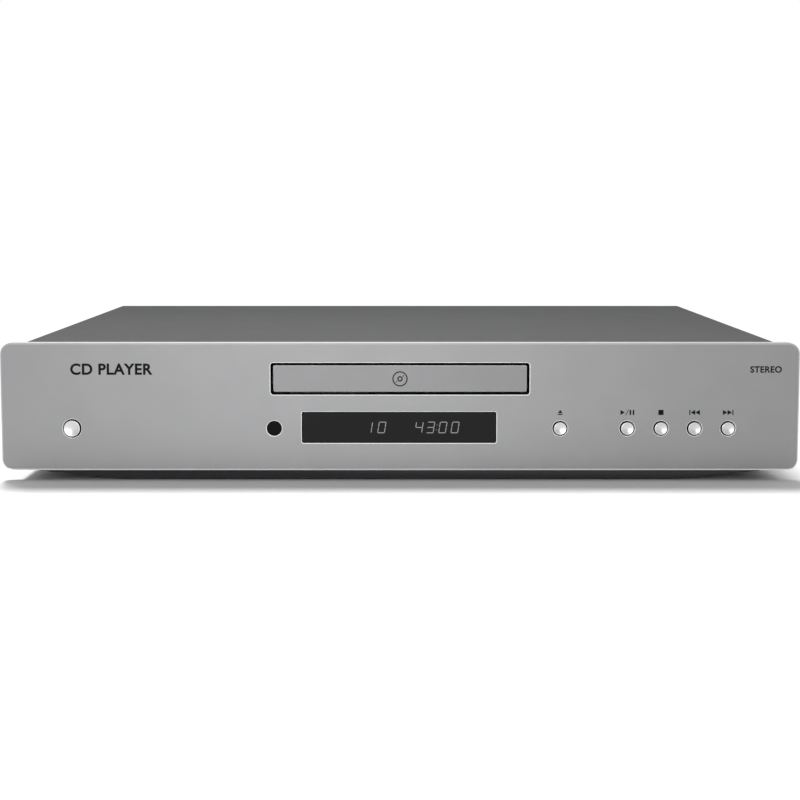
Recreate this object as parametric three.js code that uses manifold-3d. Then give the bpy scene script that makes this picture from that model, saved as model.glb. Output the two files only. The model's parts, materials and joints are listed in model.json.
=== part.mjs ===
// Full-width compact disc player: enclosure, front controls, drawer loader, electronics and rear sockets.
// Millimetres. X runs across the machine, the front faces -Y, Z is up.
// The origin is under the middle of the machine, on the surface that it rests on.
import * as THREE from 'three';
import { mergeVertices } from 'three/addons/utils/BufferGeometryUtils.js';
import Module from 'manifold-3d';

const wasm = await Module();
wasm.setup();

// ---------------------------------------------------------------- driving dimensions: whole machine
const WIDTH = 430;
const DEPTH = 305;
const HEIGHT = 75;
const GAP = 0.3; // clearance between two pieces that seat on each other
const RUN = 0.5; // clearance of a piece that slides or turns
const BUTTON_PROUD = 1;
const JACK_REACH = 9; // how far the sockets stand out of the rear panel

// ---------------------------------------------------------------- driving dimensions: enclosure
const SHEET = 1.2;
const PANEL_T = 7;
const PANEL_LIFT = 6; // lower edge of the front panel above the rest surface
const PANEL_CORNER = 6;
const PANEL_CHAMFER = 0.8;
const COVER_INSET = 9; // each side of the cover in from the end of the front panel
const COVER_DROP = 0.8; // top of the cover below the top of the panel
const COVER_SKIRT = 9; // lower edge of the cover above the rest surface
const PLINTH_INSET = 19.5; // each end of a plinth in from the end of the front panel
const PLINTH_SLOPE = 45; // width of a plinth's sloping end
const PLINTH_LIP = 0.8;
const PLINTH_SETBACK = 5;
const PLINTH_DEPTH = 26;
const PLINTH_BOTTOM = 0.6;
const REAR_PLINTH_SETBACK = 14;
const PAD_RADIUS = 9;
const PAD_SINK = 1.2;
const PAD_INSET = 22.5; // middle of a pad in from the foot of a plinth's slope
const FLANGE = 12;
const COVER_BEND = 2;
const SCREW_Y = 100;
const SCREW_Z = 15;
const SCREW_HOLE = 1.9;
const PIERCE = 2; // how far a cutting tool runs past a face
const ROUND = 16; // sides of a small round piece
const WIDE_ROUND = 24; // sides of a larger one
const DISC_ROUND = 40; // sides of the disc recess
const PANEL_ARC = 5; // facets of each corner of the front panel
const LEAD_ROUND = 8;
const POST_ROUND = 12;

// ---------------------------------------------------------------- driving dimensions: front controls
const TRAY_Z = 55.7; // middle height of the drawer slot
const DISC_RADIUS = 60;
const TRAY_SIDE = 5.5; // each side of the tray beside the disc recess
const SLOT_HEIGHT = 17.3;
const SLOT_CORNER = 1.5;
const SLOT_SIDE_ROOM = 3.75; // from a side of the tray to the side of the slot
const DOOR_MARGIN = 1.4;
const DOOR_T = 4;
const DOOR_CHAMFER = 0.4;
const PLATE_CORNER = 1;
const CONTROL_Z = 28.8; // height of the row of buttons
const BUTTON_END_INSET = 38.2; // outermost button in from the side of the machine
const BUTTON_PITCH = 18.1;
const BUTTON_RADIUS = 3.45;
const BUTTON_WELL = 0.65;
const STANDBY_RADIUS = 4.4;
const BUTTON_TRAVEL = 0.6;
const BUTTON_FLANGE = 1;
const FLANGE_GRIP = 0.7; // how far a button's flange reaches past its well
const FLANGE_ROOM = 0.45;
const STEM_RADIUS = 2;
const PIN_RADIUS = 0.9;
const PIN_ENTRY = 1.4; // how far the pin stands inside its switch at rest
const SWITCH_SIDE = 6;
const SWITCH_HEIGHT = 4;
const SWITCH_BORE = 1.4;
const WINDOW_WIDTH = 105;
const WINDOW_HEIGHT = 17;
const WINDOW_X = -0.5;
const WINDOW_Z = 29.3;
const WINDOW_FLANGE = 3;
const EYE_X = -67.8;
const EYE_RADIUS = 3.9;
const EYE_FLANGE = 1.3;
const EYE_ROOM = 0.7;
const DISPLAY_T = 5;
const DISPLAY_SIDE_MARGIN = 2; // glass of the display in from each side of the window
const DISPLAY_OVERLAP = 1.5; // and beyond its upper and lower edges
const BOARD_T = 1.6;
const BOARD_SETBACK = 7.5; // from the back of the front panel to the control board
const BOARD_BOTTOM = 14;
const BOARD_TOP = 43;
const BOARD_MARGIN = 8; // board beyond its outermost switch
const RECEIVER = { half: 3, height: 4, rise: 4 };
const SIGNAL_SOCKET = { half: 12, reach: 5, z: [17, 23] };

// ---------------------------------------------------------------- derived planes
const FRONT_Y = -DEPTH / 2 + BUTTON_PROUD;
const TRAY_WIDTH = 2 * (DISC_RADIUS + RUN + TRAY_SIDE);
const SLOT_WIDTH = TRAY_WIDTH + 2 * SLOT_SIDE_ROOM;
const PANEL_BACK = FRONT_Y + PANEL_T;
const REAR_Y = DEPTH / 2 - JACK_REACH;
const COVER_TOP = HEIGHT - COVER_DROP;
const COVER_X = WIDTH / 2 - COVER_INSET;
const COVER_INNER_X = COVER_X - SHEET;
const BODY_FRONT = PANEL_BACK + GAP;
const REAR_INNER = REAR_Y - SHEET;
const FLOOR_TOP = PANEL_LIFT + SHEET;
const PLINTH_TOP = PANEL_LIFT - GAP;
const BASE_X = COVER_INNER_X - GAP;
const SUBFRAME_BACK = BODY_FRONT + SHEET;
const BOARD_FRONT = PANEL_BACK + BOARD_SETBACK;
const BOARD_BACK = BOARD_FRONT + BOARD_T;
const BUTTON_END_X = WIDTH / 2 - BUTTON_END_INSET;
const PLINTH_X = WIDTH / 2 - PLINTH_INSET;
const PAD_X = PLINTH_X - PLINTH_SLOPE - PAD_INSET;
const BUTTON_HOLE = Math.max(BUTTON_RADIUS, STANDBY_RADIUS) + BUTTON_WELL + FLANGE_GRIP + FLANGE_ROOM;

// ---------------------------------------------------------------- finishes
function finish(color, roughness, metalness) {
  return new THREE.MeshStandardMaterial({ color, roughness, metalness });
}

const FINISH = {
  silver: () => finish(0x9b9b9d, 0.42, 0.9),
  cover: () => finish(0x6c6d6f, 0.5, 0.6),
  steel: () => finish(0xb4b6b8, 0.38, 0.9),
  plinth: () => finish(0x1c1c1d, 0.6, 0.0),
  rubber: () => finish(0x101010, 0.9, 0.0),
  smoked: () => finish(0x202224, 0.12, 0.0),
  bright: () => finish(0xd4d5d6, 0.25, 0.95),
  blackPlastic: () => finish(0x18181a, 0.5, 0.0),
  whitePlastic: () => finish(0xdedcd2, 0.5, 0.0),
  board: () => finish(0x1f5a33, 0.55, 0.0),
  glass: () => finish(0x0b0c0e, 0.08, 0.0),
  copper: () => finish(0xa8602c, 0.4, 0.8),
  ribbon: () => finish(0xc8ccd0, 0.5, 0.0),
};

// ---------------------------------------------------------------- shape helpers
function solidOf(geometry) {
  const bare = geometry.clone();
  bare.deleteAttribute('normal');
  bare.deleteAttribute('uv');
  const merged = mergeVertices(bare, 1e-4);
  const vertProperties = new Float32Array(merged.attributes.position.array);
  const triVerts = new Uint32Array(merged.index.array);
  return new wasm.Manifold(new wasm.Mesh({ numProp: 3, vertProperties, triVerts }));
}

function geometryOf(solid) {
  const mesh = solid.getMesh();
  const geometry = new THREE.BufferGeometry();
  geometry.setAttribute('position', new THREE.BufferAttribute(mesh.vertProperties, 3));
  geometry.setIndex(new THREE.BufferAttribute(mesh.triVerts, 1));
  return geometry;
}

function join(...geometries) {
  return geometryOf(geometries.map(solidOf).reduce((whole, next) => whole.add(next)));
}

function cut(geometry, ...tools) {
  return geometryOf(tools.map(solidOf).reduce((whole, tool) => whole.subtract(tool), solidOf(geometry)));
}

function common(first, second) {
  return geometryOf(solidOf(first).intersect(solidOf(second)));
}

// Block between two corners, given as [low, high] pairs.
function block([x0, x1], [y0, y1], [z0, z1]) {
  const box = new THREE.BoxGeometry(x1 - x0, y1 - y0, z1 - z0);
  return box.translate((x0 + x1) / 2, (y0 + y1) / 2, (z0 + z1) / 2);
}

// Round bar along an axis between two places on that axis; the other two coordinates follow in XYZ order.
function rod(radius, axis, [from, to], [first, second], sides = ROUND) {
  const bar = new THREE.CylinderGeometry(radius, radius, to - from, sides);
  const middle = (from + to) / 2;
  if (axis === 'x') {
    return bar.rotateZ(Math.PI / 2).translate(middle, first, second);
  }
  if (axis === 'y') {
    return bar.translate(first, middle, second);
  }
  return bar.rotateX(Math.PI / 2).translate(first, second, middle);
}

// Turned piece about a vertical axis through the origin; the profile is a closed loop of [radius, height].
function turned(profile, sides = WIDE_ROUND) {
  const points = [...profile, profile[0]].map(([radius, height]) => new THREE.Vector2(radius, height));
  return new THREE.LatheGeometry(points, sides).rotateX(Math.PI / 2);
}

// Turned piece that is solid at its axis; the open profile starts and ends on the axis.
function solidTurned(profile) {
  const points = profile.map(([radius, height]) => new THREE.Vector2(radius, height));
  return new THREE.LatheGeometry(points, WIDE_ROUND).rotateX(Math.PI / 2);
}

function roundedOutline(width, height, radius) {
  const x = width / 2;
  const y = height / 2;
  const shape = new THREE.Shape();
  shape.moveTo(-x + radius, -y);
  shape.lineTo(x - radius, -y);
  shape.absarc(x - radius, -y + radius, radius, -Math.PI / 2, 0, false);
  shape.lineTo(x, y - radius);
  shape.absarc(x - radius, y - radius, radius, 0, Math.PI / 2, false);
  shape.lineTo(-x + radius, y);
  shape.absarc(-x + radius, y - radius, radius, Math.PI / 2, Math.PI, false);
  shape.lineTo(-x, -y + radius);
  shape.absarc(-x + radius, -y + radius, radius, Math.PI, Math.PI * 1.5, false);
  return shape;
}

// Plate standing in the XZ plane with rounded corners, its faces at the two Y places given.
function uprightPlate(width, height, radius, [front, back], x, z, chamfer = 0, curveSegments = 2) {
  const options = { depth: back - front - 2 * chamfer, bevelEnabled: chamfer > 0, bevelSize: chamfer,
    bevelThickness: chamfer, bevelOffset: -chamfer, bevelSegments: 1, curveSegments };
  const plate = new THREE.ExtrudeGeometry(roundedOutline(width, height, radius), options);
  return plate.rotateX(Math.PI / 2).translate(x, back - chamfer, z);
}

// Flat plate from an outline of [x, y] points, between two heights.
function flatPlate(outline, [low, high]) {
  const shape = new THREE.Shape(outline.map(([x, y]) => new THREE.Vector2(x, y)));
  return new THREE.ExtrudeGeometry(shape, { depth: high - low, bevelEnabled: false }).translate(0, 0, low);
}

// Strip of rectangular or round section that follows a smooth path.
function strip(section, points, steps) {
  const path = new THREE.CatmullRomCurve3(points.map((point) => new THREE.Vector3(...point)));
  return new THREE.ExtrudeGeometry(section, { steps, bevelEnabled: false, extrudePath: path });
}

function named(name, geometry, material, x = 0, y = 0, z = 0) {
  const mesh = new THREE.Mesh(geometry, material);
  mesh.name = name;
  mesh.position.set(x, y, z);
  return mesh;
}

function assembly(...children) {
  const group = new THREE.Group();
  group.add(...children);
  return group;
}

// ---------------------------------------------------------------- enclosure
const PANEL_Z = (HEIGHT + PANEL_LIFT) / 2;
const SIDES = [-1, 1];
const BUTTONS = [
  { name: 'standby_button', x: -BUTTON_END_X, radius: STANDBY_RADIUS },
  { name: 'eject_button', x: BUTTON_END_X - 5 * BUTTON_PITCH, radius: BUTTON_RADIUS },
  { name: 'play_button', x: BUTTON_END_X - 3 * BUTTON_PITCH, radius: BUTTON_RADIUS },
  { name: 'stop_button', x: BUTTON_END_X - 2 * BUTTON_PITCH, radius: BUTTON_RADIUS },
  { name: 'previous_button', x: BUTTON_END_X - BUTTON_PITCH, radius: BUTTON_RADIUS },
  { name: 'next_button', x: BUTTON_END_X, radius: BUTTON_RADIUS },
];

function frontPanel() {
  const slab = uprightPlate(WIDTH, HEIGHT - PANEL_LIFT, PANEL_CORNER, [FRONT_Y, PANEL_BACK], 0, PANEL_Z,
    PANEL_CHAMFER, PANEL_ARC);
  const through = [FRONT_Y - PIERCE, PANEL_BACK + PIERCE];
  const slot = uprightPlate(SLOT_WIDTH, SLOT_HEIGHT, SLOT_CORNER, through, 0, TRAY_Z);
  const window = uprightPlate(WINDOW_WIDTH, WINDOW_HEIGHT, PLATE_CORNER, through, WINDOW_X, WINDOW_Z);
  const eye = rod(EYE_RADIUS + GAP, 'y', through, [EYE_X, CONTROL_Z]);
  const wells = BUTTONS.map(({ x, radius }) => (
    rod(radius + BUTTON_WELL, 'y', through, [x, CONTROL_Z], WIDE_ROUND)));
  return named('front_panel', cut(slab, slot, window, eye, ...wells), FINISH.silver());
}

const COVER_INNER_TOP = COVER_TOP - SHEET;
const SLOT_RELIEF = 1.5; // subframe and loader stand back this much from the edge of the slot

function frontSubframe() {
  const web = block([-BASE_X, BASE_X], [BODY_FRONT, SUBFRAME_BACK], [FLOOR_TOP + GAP, COVER_INNER_TOP - GAP]);
  const flangeX = BASE_X - SHEET - GAP;
  const flangeY = [SUBFRAME_BACK - SHEET / 2, SUBFRAME_BACK + FLANGE];
  const foot = block([-flangeX, flangeX], flangeY, [FLOOR_TOP + GAP, FLOOR_TOP + GAP + SHEET]);
  const head = block([-flangeX, flangeX], flangeY, [COVER_INNER_TOP - GAP - SHEET, COVER_INNER_TOP - GAP]);
  const through = [BODY_FRONT - PIERCE, SUBFRAME_BACK + SHEET / 2];
  const slot = uprightPlate(SLOT_WIDTH + SLOT_RELIEF, SLOT_HEIGHT + SLOT_RELIEF, SLOT_CORNER, through, 0,
    TRAY_Z);
  const flangeRoom = 2 * (WINDOW_FLANGE + RUN);
  const window = uprightPlate(WINDOW_WIDTH + flangeRoom, WINDOW_HEIGHT + flangeRoom, PLATE_CORNER, through,
    WINDOW_X, WINDOW_Z);
  const eye = rod(EYE_RADIUS + EYE_FLANGE + EYE_ROOM, 'y', through, [EYE_X, CONTROL_Z]);
  const holes = BUTTONS.map(({ x }) => rod(BUTTON_HOLE, 'y', through, [x, CONTROL_Z]));
  return named('front_subframe', cut(join(web, foot, head), slot, window, eye, ...holes), FINISH.steel());
}

function sideHoles(reach) {
  return SIDES.flatMap((side) => SIDES.map((end) => {
    const span = side < 0 ? [-COVER_X - PIERCE, -reach] : [reach, COVER_X + PIERCE];
    return rod(SCREW_HOLE, 'x', span, [end * SCREW_Y, SCREW_Z]);
  }));
}

function topCover() {
  const deep = 2 * (COVER_TOP - COVER_SKIRT);
  const span = [BODY_FRONT, REAR_Y];
  const shell = uprightPlate(2 * COVER_X, deep, COVER_BEND, span, 0, COVER_TOP - deep / 2);
  const inside = uprightPlate(2 * COVER_INNER_X, deep, COVER_BEND - SHEET,
    [BODY_FRONT - PIERCE, REAR_Y + PIERCE], 0, COVER_INNER_TOP - deep / 2);
  const below = block([-WIDTH, WIDTH], [-DEPTH, DEPTH], [COVER_SKIRT - 2 * deep, COVER_SKIRT]);
  return named('top_cover', cut(shell, inside, below, ...sideHoles(COVER_INNER_X - PIERCE)), FINISH.cover());
}

// ---------------------------------------------------------------- places of the boards on the base
const BOARD_Z = 15; // underside of the boards that stand on the base
const POST_RADIUS = 3;
const POST_INSET = 5;
const BOARDS_BACK = REAR_INNER - 20.3;
const SUPPLY_BOARD = { x: [8.5 - BASE_X, 96.5 - BASE_X], y: [BOARDS_BACK - 70, BOARDS_BACK] };
const CORE = { x: 52.5 - BASE_X, y: SUPPLY_BOARD.y[0] - 60, width: 62, depth: 52, height: 46, stack: 33.28 };
const VENT = { inset: [12, 8], y: [SUPPLY_BOARD.y[0] + 4, SUPPLY_BOARD.y[1] - 6], pitch: 10, width: 3 };

function corners({ x, y }, inset) {
  const acrossX = [x[0] + inset, x[1] - inset];
  const acrossY = [y[0] + inset, y[1] - inset];
  return acrossX.flatMap((placeX) => acrossY.map((placeY) => [placeX, placeY]));
}

function basePan() {
  const floor = block([-BASE_X, BASE_X], [BODY_FRONT, REAR_Y], [PANEL_LIFT, FLOOR_TOP]);
  const wallY = [SUBFRAME_BACK + GAP, REAR_INNER - GAP];
  const walls = SIDES.map((side) => {
    const span = side < 0 ? [-BASE_X, SHEET - BASE_X] : [BASE_X - SHEET, BASE_X];
    return block(span, wallY, [PANEL_LIFT, PANEL_LIFT + FLANGE]);
  });
  const posts = [...corners(MAIN_BOARD, POST_INSET), ...corners(SUPPLY_BOARD, POST_INSET)].map((place) => (
    rod(POST_RADIUS, 'z', [FLOOR_TOP - SHEET / 2, BOARD_Z - GAP], place, POST_ROUND)));
  const ventX = [SUPPLY_BOARD.x[0] + VENT.inset[0], SUPPLY_BOARD.x[1] - VENT.inset[1]];
  const slots = [];
  for (let y = VENT.y[0]; y <= VENT.y[1]; y += VENT.pitch) {
    slots.push(block(ventX, [y, y + VENT.width], [0, FLOOR_TOP + PIERCE]));
  }
  const pan = join(floor, ...walls, ...posts);
  return named('base_pan', cut(pan, ...slots, ...sideHoles(BASE_X - SHEET - PIERCE)), FINISH.steel());
}

// Bar with sloping ends under the machine; the soft pads sit in pockets of its underside.
function plinth(name, front) {
  const foot = PLINTH_X - PLINTH_SLOPE;
  const edge = PLINTH_TOP - PLINTH_LIP;
  const outline = [[-foot, PLINTH_BOTTOM], [foot, PLINTH_BOTTOM], [PLINTH_X, edge], [PLINTH_X, PLINTH_TOP],
    [-PLINTH_X, PLINTH_TOP], [-PLINTH_X, edge]];
  const bar = flatPlate(outline, [0, PLINTH_DEPTH]).rotateX(Math.PI / 2);
  bar.translate(0, front + PLINTH_DEPTH, 0);
  const pockets = SIDES.map((side) => rod(PAD_RADIUS + GAP, 'z', [0, PLINTH_BOTTOM + PAD_SINK + GAP],
    [side * PAD_X, front + PLINTH_DEPTH / 2], WIDE_ROUND));
  return named(name, cut(bar, ...pockets), FINISH.plinth());
}

const FRONT_PLINTH_Y = FRONT_Y + PLINTH_SETBACK;
const REAR_PLINTH_Y = REAR_Y - REAR_PLINTH_SETBACK - PLINTH_DEPTH;

function footPads() {
  const rows = [['front', FRONT_PLINTH_Y], ['rear', REAR_PLINTH_Y]];
  return rows.flatMap(([row, front]) => [['left', -1], ['right', 1]].map(([hand, side]) => {
    const pad = rod(PAD_RADIUS, 'z', [0, PLINTH_BOTTOM + PAD_SINK], [0, 0], WIDE_ROUND);
    return named(`foot_pad_${row}_${hand}`, pad, FINISH.rubber(), side * PAD_X, front + PLINTH_DEPTH / 2);
  }));
}

// ---------------------------------------------------------------- rear sockets
const SOCKET_Z = 40;
const POWER_PLATE = { x: [18.5 - BASE_X, 80.5 - BASE_X], z: [21, 51], proud: 2.6, wall: 2 };
const POWER_Z = (POWER_PLATE.z[0] + POWER_PLATE.z[1]) / 2;
const INLET = { x: POWER_PLATE.x[0] + 18, width: 27, height: 20, depth: 17 };
const BLADE = { pitch: 7, half: 1, tall: 2, lift: 3, recess: 4 };
const ROCKER = { x: POWER_PLATE.x[1] - 13, width: 13.6, height: 21.6, depth: 12, tilt: 7, pivot: 1.5,
  margin: 1.6, back: 2.5, bevel: 1.5, crown: 0.6 };
const OPTICAL = { x: 64, side: 11, mouth: 7, depth: 9, proud: 4, wall: 3 };
const COAX_X = 92;
const LINE_X = [122, 140];
const JACK = { barrel: 4.15, bore: 1.7, neck: 5.4, plate: 2, body: 12, half: 7.5 };
const THROUGH_REAR = [REAR_INNER - PIERCE, REAR_Y + PIERCE];
const POWER_BACK = REAR_INNER - INLET.depth - POWER_PLATE.wall;

function rearPanel() {
  const plate = block([-BASE_X, BASE_X], [REAR_INNER, REAR_Y], [FLOOR_TOP + GAP, COVER_INNER_TOP - GAP]);
  const inset = POWER_PLATE.wall - GAP;
  const power = block([POWER_PLATE.x[0] + inset, POWER_PLATE.x[1] - inset], THROUGH_REAR,
    [POWER_PLATE.z[0] + inset, POWER_PLATE.z[1] - inset]);
  const opticalHalf = OPTICAL.side / 2 + GAP;
  const optical = block([OPTICAL.x - opticalHalf, OPTICAL.x + opticalHalf], THROUGH_REAR,
    [SOCKET_Z - opticalHalf, SOCKET_Z + opticalHalf]);
  const round = [COAX_X, ...LINE_X].map((x) => rod(JACK.neck + GAP, 'y', THROUGH_REAR, [x, SOCKET_Z]));
  return named('rear_panel', cut(plate, power, optical, ...round), FINISH.cover());
}

// Mains inlet and power switch frame in one moulding; blades stand in the inlet cavity.
function mainsInlet() {
  const [left, right] = POWER_PLATE.x;
  const [low, high] = POWER_PLATE.z;
  const wall = POWER_PLATE.wall;
  const face = REAR_Y + GAP + POWER_PLATE.proud;
  const bezel = block([left, right], [REAR_Y + GAP, face], [low, high]);
  const body = block([left + wall, right - wall], [POWER_BACK, REAR_Y + GAP + POWER_PLATE.proud / 2],
    [low + wall, high - wall]);
  const socket = block([INLET.x - INLET.width / 2, INLET.x + INLET.width / 2],
    [face - INLET.depth, face + PIERCE], [POWER_Z - INLET.height / 2, POWER_Z + INLET.height / 2]);
  const well = block([ROCKER.x - ROCKER.width / 2, ROCKER.x + ROCKER.width / 2],
    [face - ROCKER.depth, face + PIERCE], [POWER_Z - ROCKER.height / 2, POWER_Z + ROCKER.height / 2]);
  const pinReach = ROCKER.width / 2 + POWER_PLATE.wall;
  const pivot = rod(ROCKER.pivot + GAP, 'x', [ROCKER.x - pinReach, ROCKER.x + pinReach],
    [face - ROCKER.depth / 2, POWER_Z]);
  const blades = [-1, 0, 1].map((step) => {
    const x = INLET.x + step * BLADE.pitch;
    const z = POWER_Z + (step === 0 ? BLADE.lift : 0);
    return block([x - BLADE.half, x + BLADE.half],
      [face - INLET.depth - wall / 2, face - BLADE.recess], [z - BLADE.tall, z + BLADE.tall]);
  });
  return named('mains_inlet', join(cut(join(bezel, body), socket, well, pivot), ...blades),
    FINISH.blackPlastic());
}

// Rocker cap with a shallow V face; its pivot pins turn in the walls of the switch frame.
function powerRocker() {
  const half = ROCKER.height / 2 - ROCKER.margin;
  const rise = ROCKER.depth / 2 + ROCKER.crown;
  const heel = half - ROCKER.bevel;
  const flare = half * Math.tan(THREE.MathUtils.degToRad(ROCKER.tilt));
  const outline = [[-ROCKER.back, -heel], [-ROCKER.back, heel], [rise + flare, half], [rise, 0],
    [rise + flare, -half]];
  const wide = ROCKER.width - 2 * RUN;
  const cap = flatPlate(outline.reverse(), [-wide / 2, wide / 2]).rotateY(Math.PI / 2).rotateX(Math.PI / 2);
  const pinReach = ROCKER.width / 2 + POWER_PLATE.wall - RUN;
  const pins = rod(ROCKER.pivot, 'x', [-pinReach, pinReach], [0, 0]);
  return named('power_rocker', join(cap, pins), FINISH.blackPlastic(), ROCKER.x,
    REAR_Y + GAP + POWER_PLATE.proud - ROCKER.depth / 2, POWER_Z);
}

const SHUTTER = { hingeUp: 2.6, thick: 0.8, inset: 1.2, height: 5.8 };

function opticalOut() {
  const half = OPTICAL.side / 2;
  const face = REAR_Y + OPTICAL.proud;
  const mouthEnd = face - OPTICAL.depth - OPTICAL.proud;
  const body = block([-half, half], [mouthEnd - OPTICAL.wall, face], [-half, half]);
  const mouthHalf = OPTICAL.mouth / 2;
  const mouth = block([-mouthHalf, mouthHalf], [mouthEnd, face + PIERCE], [-mouthHalf, mouthHalf]);
  return named('optical_out', cut(body, mouth), FINISH.blackPlastic(), OPTICAL.x, 0, SOCKET_Z);
}

// Flap that hangs from a pin line across the top of the optical mouth and swings inwards.
function opticalShutter() {
  const half = OPTICAL.mouth / 2 - RUN;
  const flap = block([-half, half], [-SHUTTER.thick / 2, SHUTTER.thick / 2], [-SHUTTER.height, 0]);
  return named('optical_shutter', flap, FINISH.blackPlastic(), OPTICAL.x,
    REAR_Y + OPTICAL.proud - SHUTTER.inset, SOCKET_Z + SHUTTER.hingeUp + RUN / 2);
}

function phonoJacks(name, places) {
  const left = Math.min(...places) - JACK.half;
  const right = Math.max(...places) + JACK.half;
  const outer = REAR_Y + GAP + JACK.plate;
  const plate = block([left, right], [REAR_Y + GAP, outer], [SOCKET_Z - JACK.half, SOCKET_Z + JACK.half]);
  const body = block([left, right], [REAR_INNER - GAP - JACK.body, REAR_INNER - GAP],
    [SOCKET_Z - JACK.half, SOCKET_Z + JACK.half]);
  const necks = places.map((x) => rod(JACK.neck, 'y', [REAR_INNER - JACK.body / 2, REAR_Y + JACK.plate / 2],
    [x, SOCKET_Z]));
  const barrels = places.map((x) => rod(JACK.barrel, 'y', [REAR_Y, DEPTH / 2], [x, SOCKET_Z]));
  const bores = places.map((x) => rod(JACK.bore, 'y', [REAR_Y, DEPTH / 2 + PIERCE], [x, SOCKET_Z]));
  return named(name, cut(join(plate, body, ...necks, ...barrels), ...bores), FINISH.blackPlastic());
}

// ---------------------------------------------------------------- front controls
const FLANGE_BACK = PANEL_BACK + GAP + BUTTON_FLANGE;
const SWITCH_FRONT = BOARD_FRONT - SWITCH_HEIGHT;

// Cap, retaining flange, stem and switch pin on one axis, measured back from the face of the panel.
function pushButton({ name, x, radius }) {
  const flange = radius + BUTTON_WELL + FLANGE_GRIP;
  const flangeFront = PANEL_BACK + GAP - FRONT_Y;
  const flangeBack = FLANGE_BACK - FRONT_Y;
  const stemEnd = SWITCH_FRONT - FRONT_Y - BUTTON_TRAVEL - GAP;
  const pinEnd = SWITCH_FRONT - FRONT_Y + PIN_ENTRY;
  const profile = [[0, -BUTTON_PROUD], [radius - GAP, -BUTTON_PROUD], [radius, GAP - BUTTON_PROUD],
    [radius, flangeFront], [flange, flangeFront], [flange, flangeBack], [STEM_RADIUS, flangeBack],
    [STEM_RADIUS, stemEnd], [PIN_RADIUS, stemEnd], [PIN_RADIUS, pinEnd], [0, pinEnd]];
  const points = profile.map(([r, y]) => new THREE.Vector2(r, y));
  return named(name, join(new THREE.LatheGeometry(points, ROUND)), FINISH.bright(), x, FRONT_Y, CONTROL_Z);
}

function displayWindow() {
  const plug = uprightPlate(WINDOW_WIDTH - 2 * GAP, WINDOW_HEIGHT - 2 * GAP, PLATE_CORNER - GAP,
    [FRONT_Y + GAP, PANEL_BACK + 2 * GAP], WINDOW_X, WINDOW_Z);
  const flange = uprightPlate(WINDOW_WIDTH + 2 * WINDOW_FLANGE, WINDOW_HEIGHT + 2 * WINDOW_FLANGE,
    PLATE_CORNER, [PANEL_BACK + GAP, BOARD_FRONT - DISPLAY_T - GAP], WINDOW_X, WINDOW_Z);
  return named('display_window', join(plug, flange), FINISH.smoked());
}

function displayModule() {
  const glass = uprightPlate(WINDOW_WIDTH - 2 * DISPLAY_SIDE_MARGIN, WINDOW_HEIGHT + 2 * DISPLAY_OVERLAP,
    PLATE_CORNER, [BOARD_FRONT - DISPLAY_T, BOARD_FRONT - GAP], WINDOW_X, WINDOW_Z);
  return named('display_module', glass, FINISH.glass());
}

function irWindow() {
  const plug = rod(EYE_RADIUS, 'y', [FRONT_Y + GAP / 2, PANEL_BACK + 2 * GAP], [EYE_X, CONTROL_Z]);
  const flange = rod(EYE_RADIUS + EYE_FLANGE, 'y', [PANEL_BACK + GAP, SUBFRAME_BACK], [EYE_X, CONTROL_Z]);
  return named('ir_window', join(plug, flange), FINISH.smoked());
}

// Circuit board with the switches, the infrared receiver and the cable socket standing on it.
function controlBoard() {
  const half = BUTTON_END_X + BOARD_MARGIN;
  const sheet = block([-half, half], [BOARD_FRONT, BOARD_BACK], [BOARD_BOTTOM, BOARD_TOP]);
  const face = [SWITCH_FRONT, BOARD_FRONT + BOARD_T / 2];
  const square = SWITCH_SIDE / 2;
  const switches = BUTTONS.map(({ x }) => block([x - square, x + square], face,
    [CONTROL_Z - square, CONTROL_Z + square]));
  const receiver = block([EYE_X - RECEIVER.half, EYE_X + RECEIVER.half],
    [BOARD_FRONT - RECEIVER.height, BOARD_FRONT + BOARD_T / 2],
    [CONTROL_Z - RECEIVER.rise, CONTROL_Z + RECEIVER.rise]);
  const socket = block([SIGNAL_X - SIGNAL_SOCKET.half, SIGNAL_X + SIGNAL_SOCKET.half],
    [BOARD_FRONT + BOARD_T / 2, BOARD_BACK + SIGNAL_SOCKET.reach], SIGNAL_SOCKET.z);
  const bores = BUTTONS.map(({ x }) => rod(SWITCH_BORE, 'y', [SWITCH_FRONT - PIERCE, BOARD_FRONT - GAP],
    [x, CONTROL_Z]));
  return named('control_board', cut(join(sheet, receiver, socket, ...switches), ...bores), FINISH.board());
}

// ---------------------------------------------------------------- driving dimensions: drawer and loader
const TRAY_NOSE = 8.7; // tray between its door and the disc recess
const DISC_SETBACK = DOOR_T + GAP + TRAY_NOSE + DISC_RADIUS + RUN;
const TRAY_TRAVEL = 140;
const SMALL_DISC = { radius: 41, sink: 1 };
const TRAY_SLOT = 20; // half width of the opening for the turntable and the pickup
const TRAY_UNDER = TRAY_Z - 5;
const TRAY_RIM = TRAY_Z + 1.5;
const DISC_SEAT = TRAY_Z - 1.5;
const RACK_LOW = TRAY_Z - 8.1;
const LOADER_WALL = 3;
const LOADER_TOP = TRAY_Z + 4.3;
const LOADER_TAIL = 8; // loader frame behind the back end of the closed tray
const DECK = [TRAY_Z - 15.7, TRAY_Z - 13.4]; // underside and top of the loader floor
const LIP = 3;
const LIP_SINK = 1;
const LIP_T = 1.6;
const RUNNER = { reach: 5, thick: 2 };
const MODULE = 1.5;
const RACK_TEETH = Math.ceil(TRAY_TRAVEL / (Math.PI * MODULE)) + 2;
const RACK = { first: -2, below: 1.6, above: 1.4, foot: 1.4, crest: 0.4, spine: 2.4 };
const RACK_TOOTH_GEAR = 12;
const REDUCTION_GEAR = 18;
const PINION = 10;
const TOOTH = { below: 1.8, above: 1.3, foot: 1.35, crest: 0.42 };
const MESH_SLACK = 0.22; // extra distance between the axes of meshing teeth
const DRIVE_Y = FRONT_Y + 35;
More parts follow.
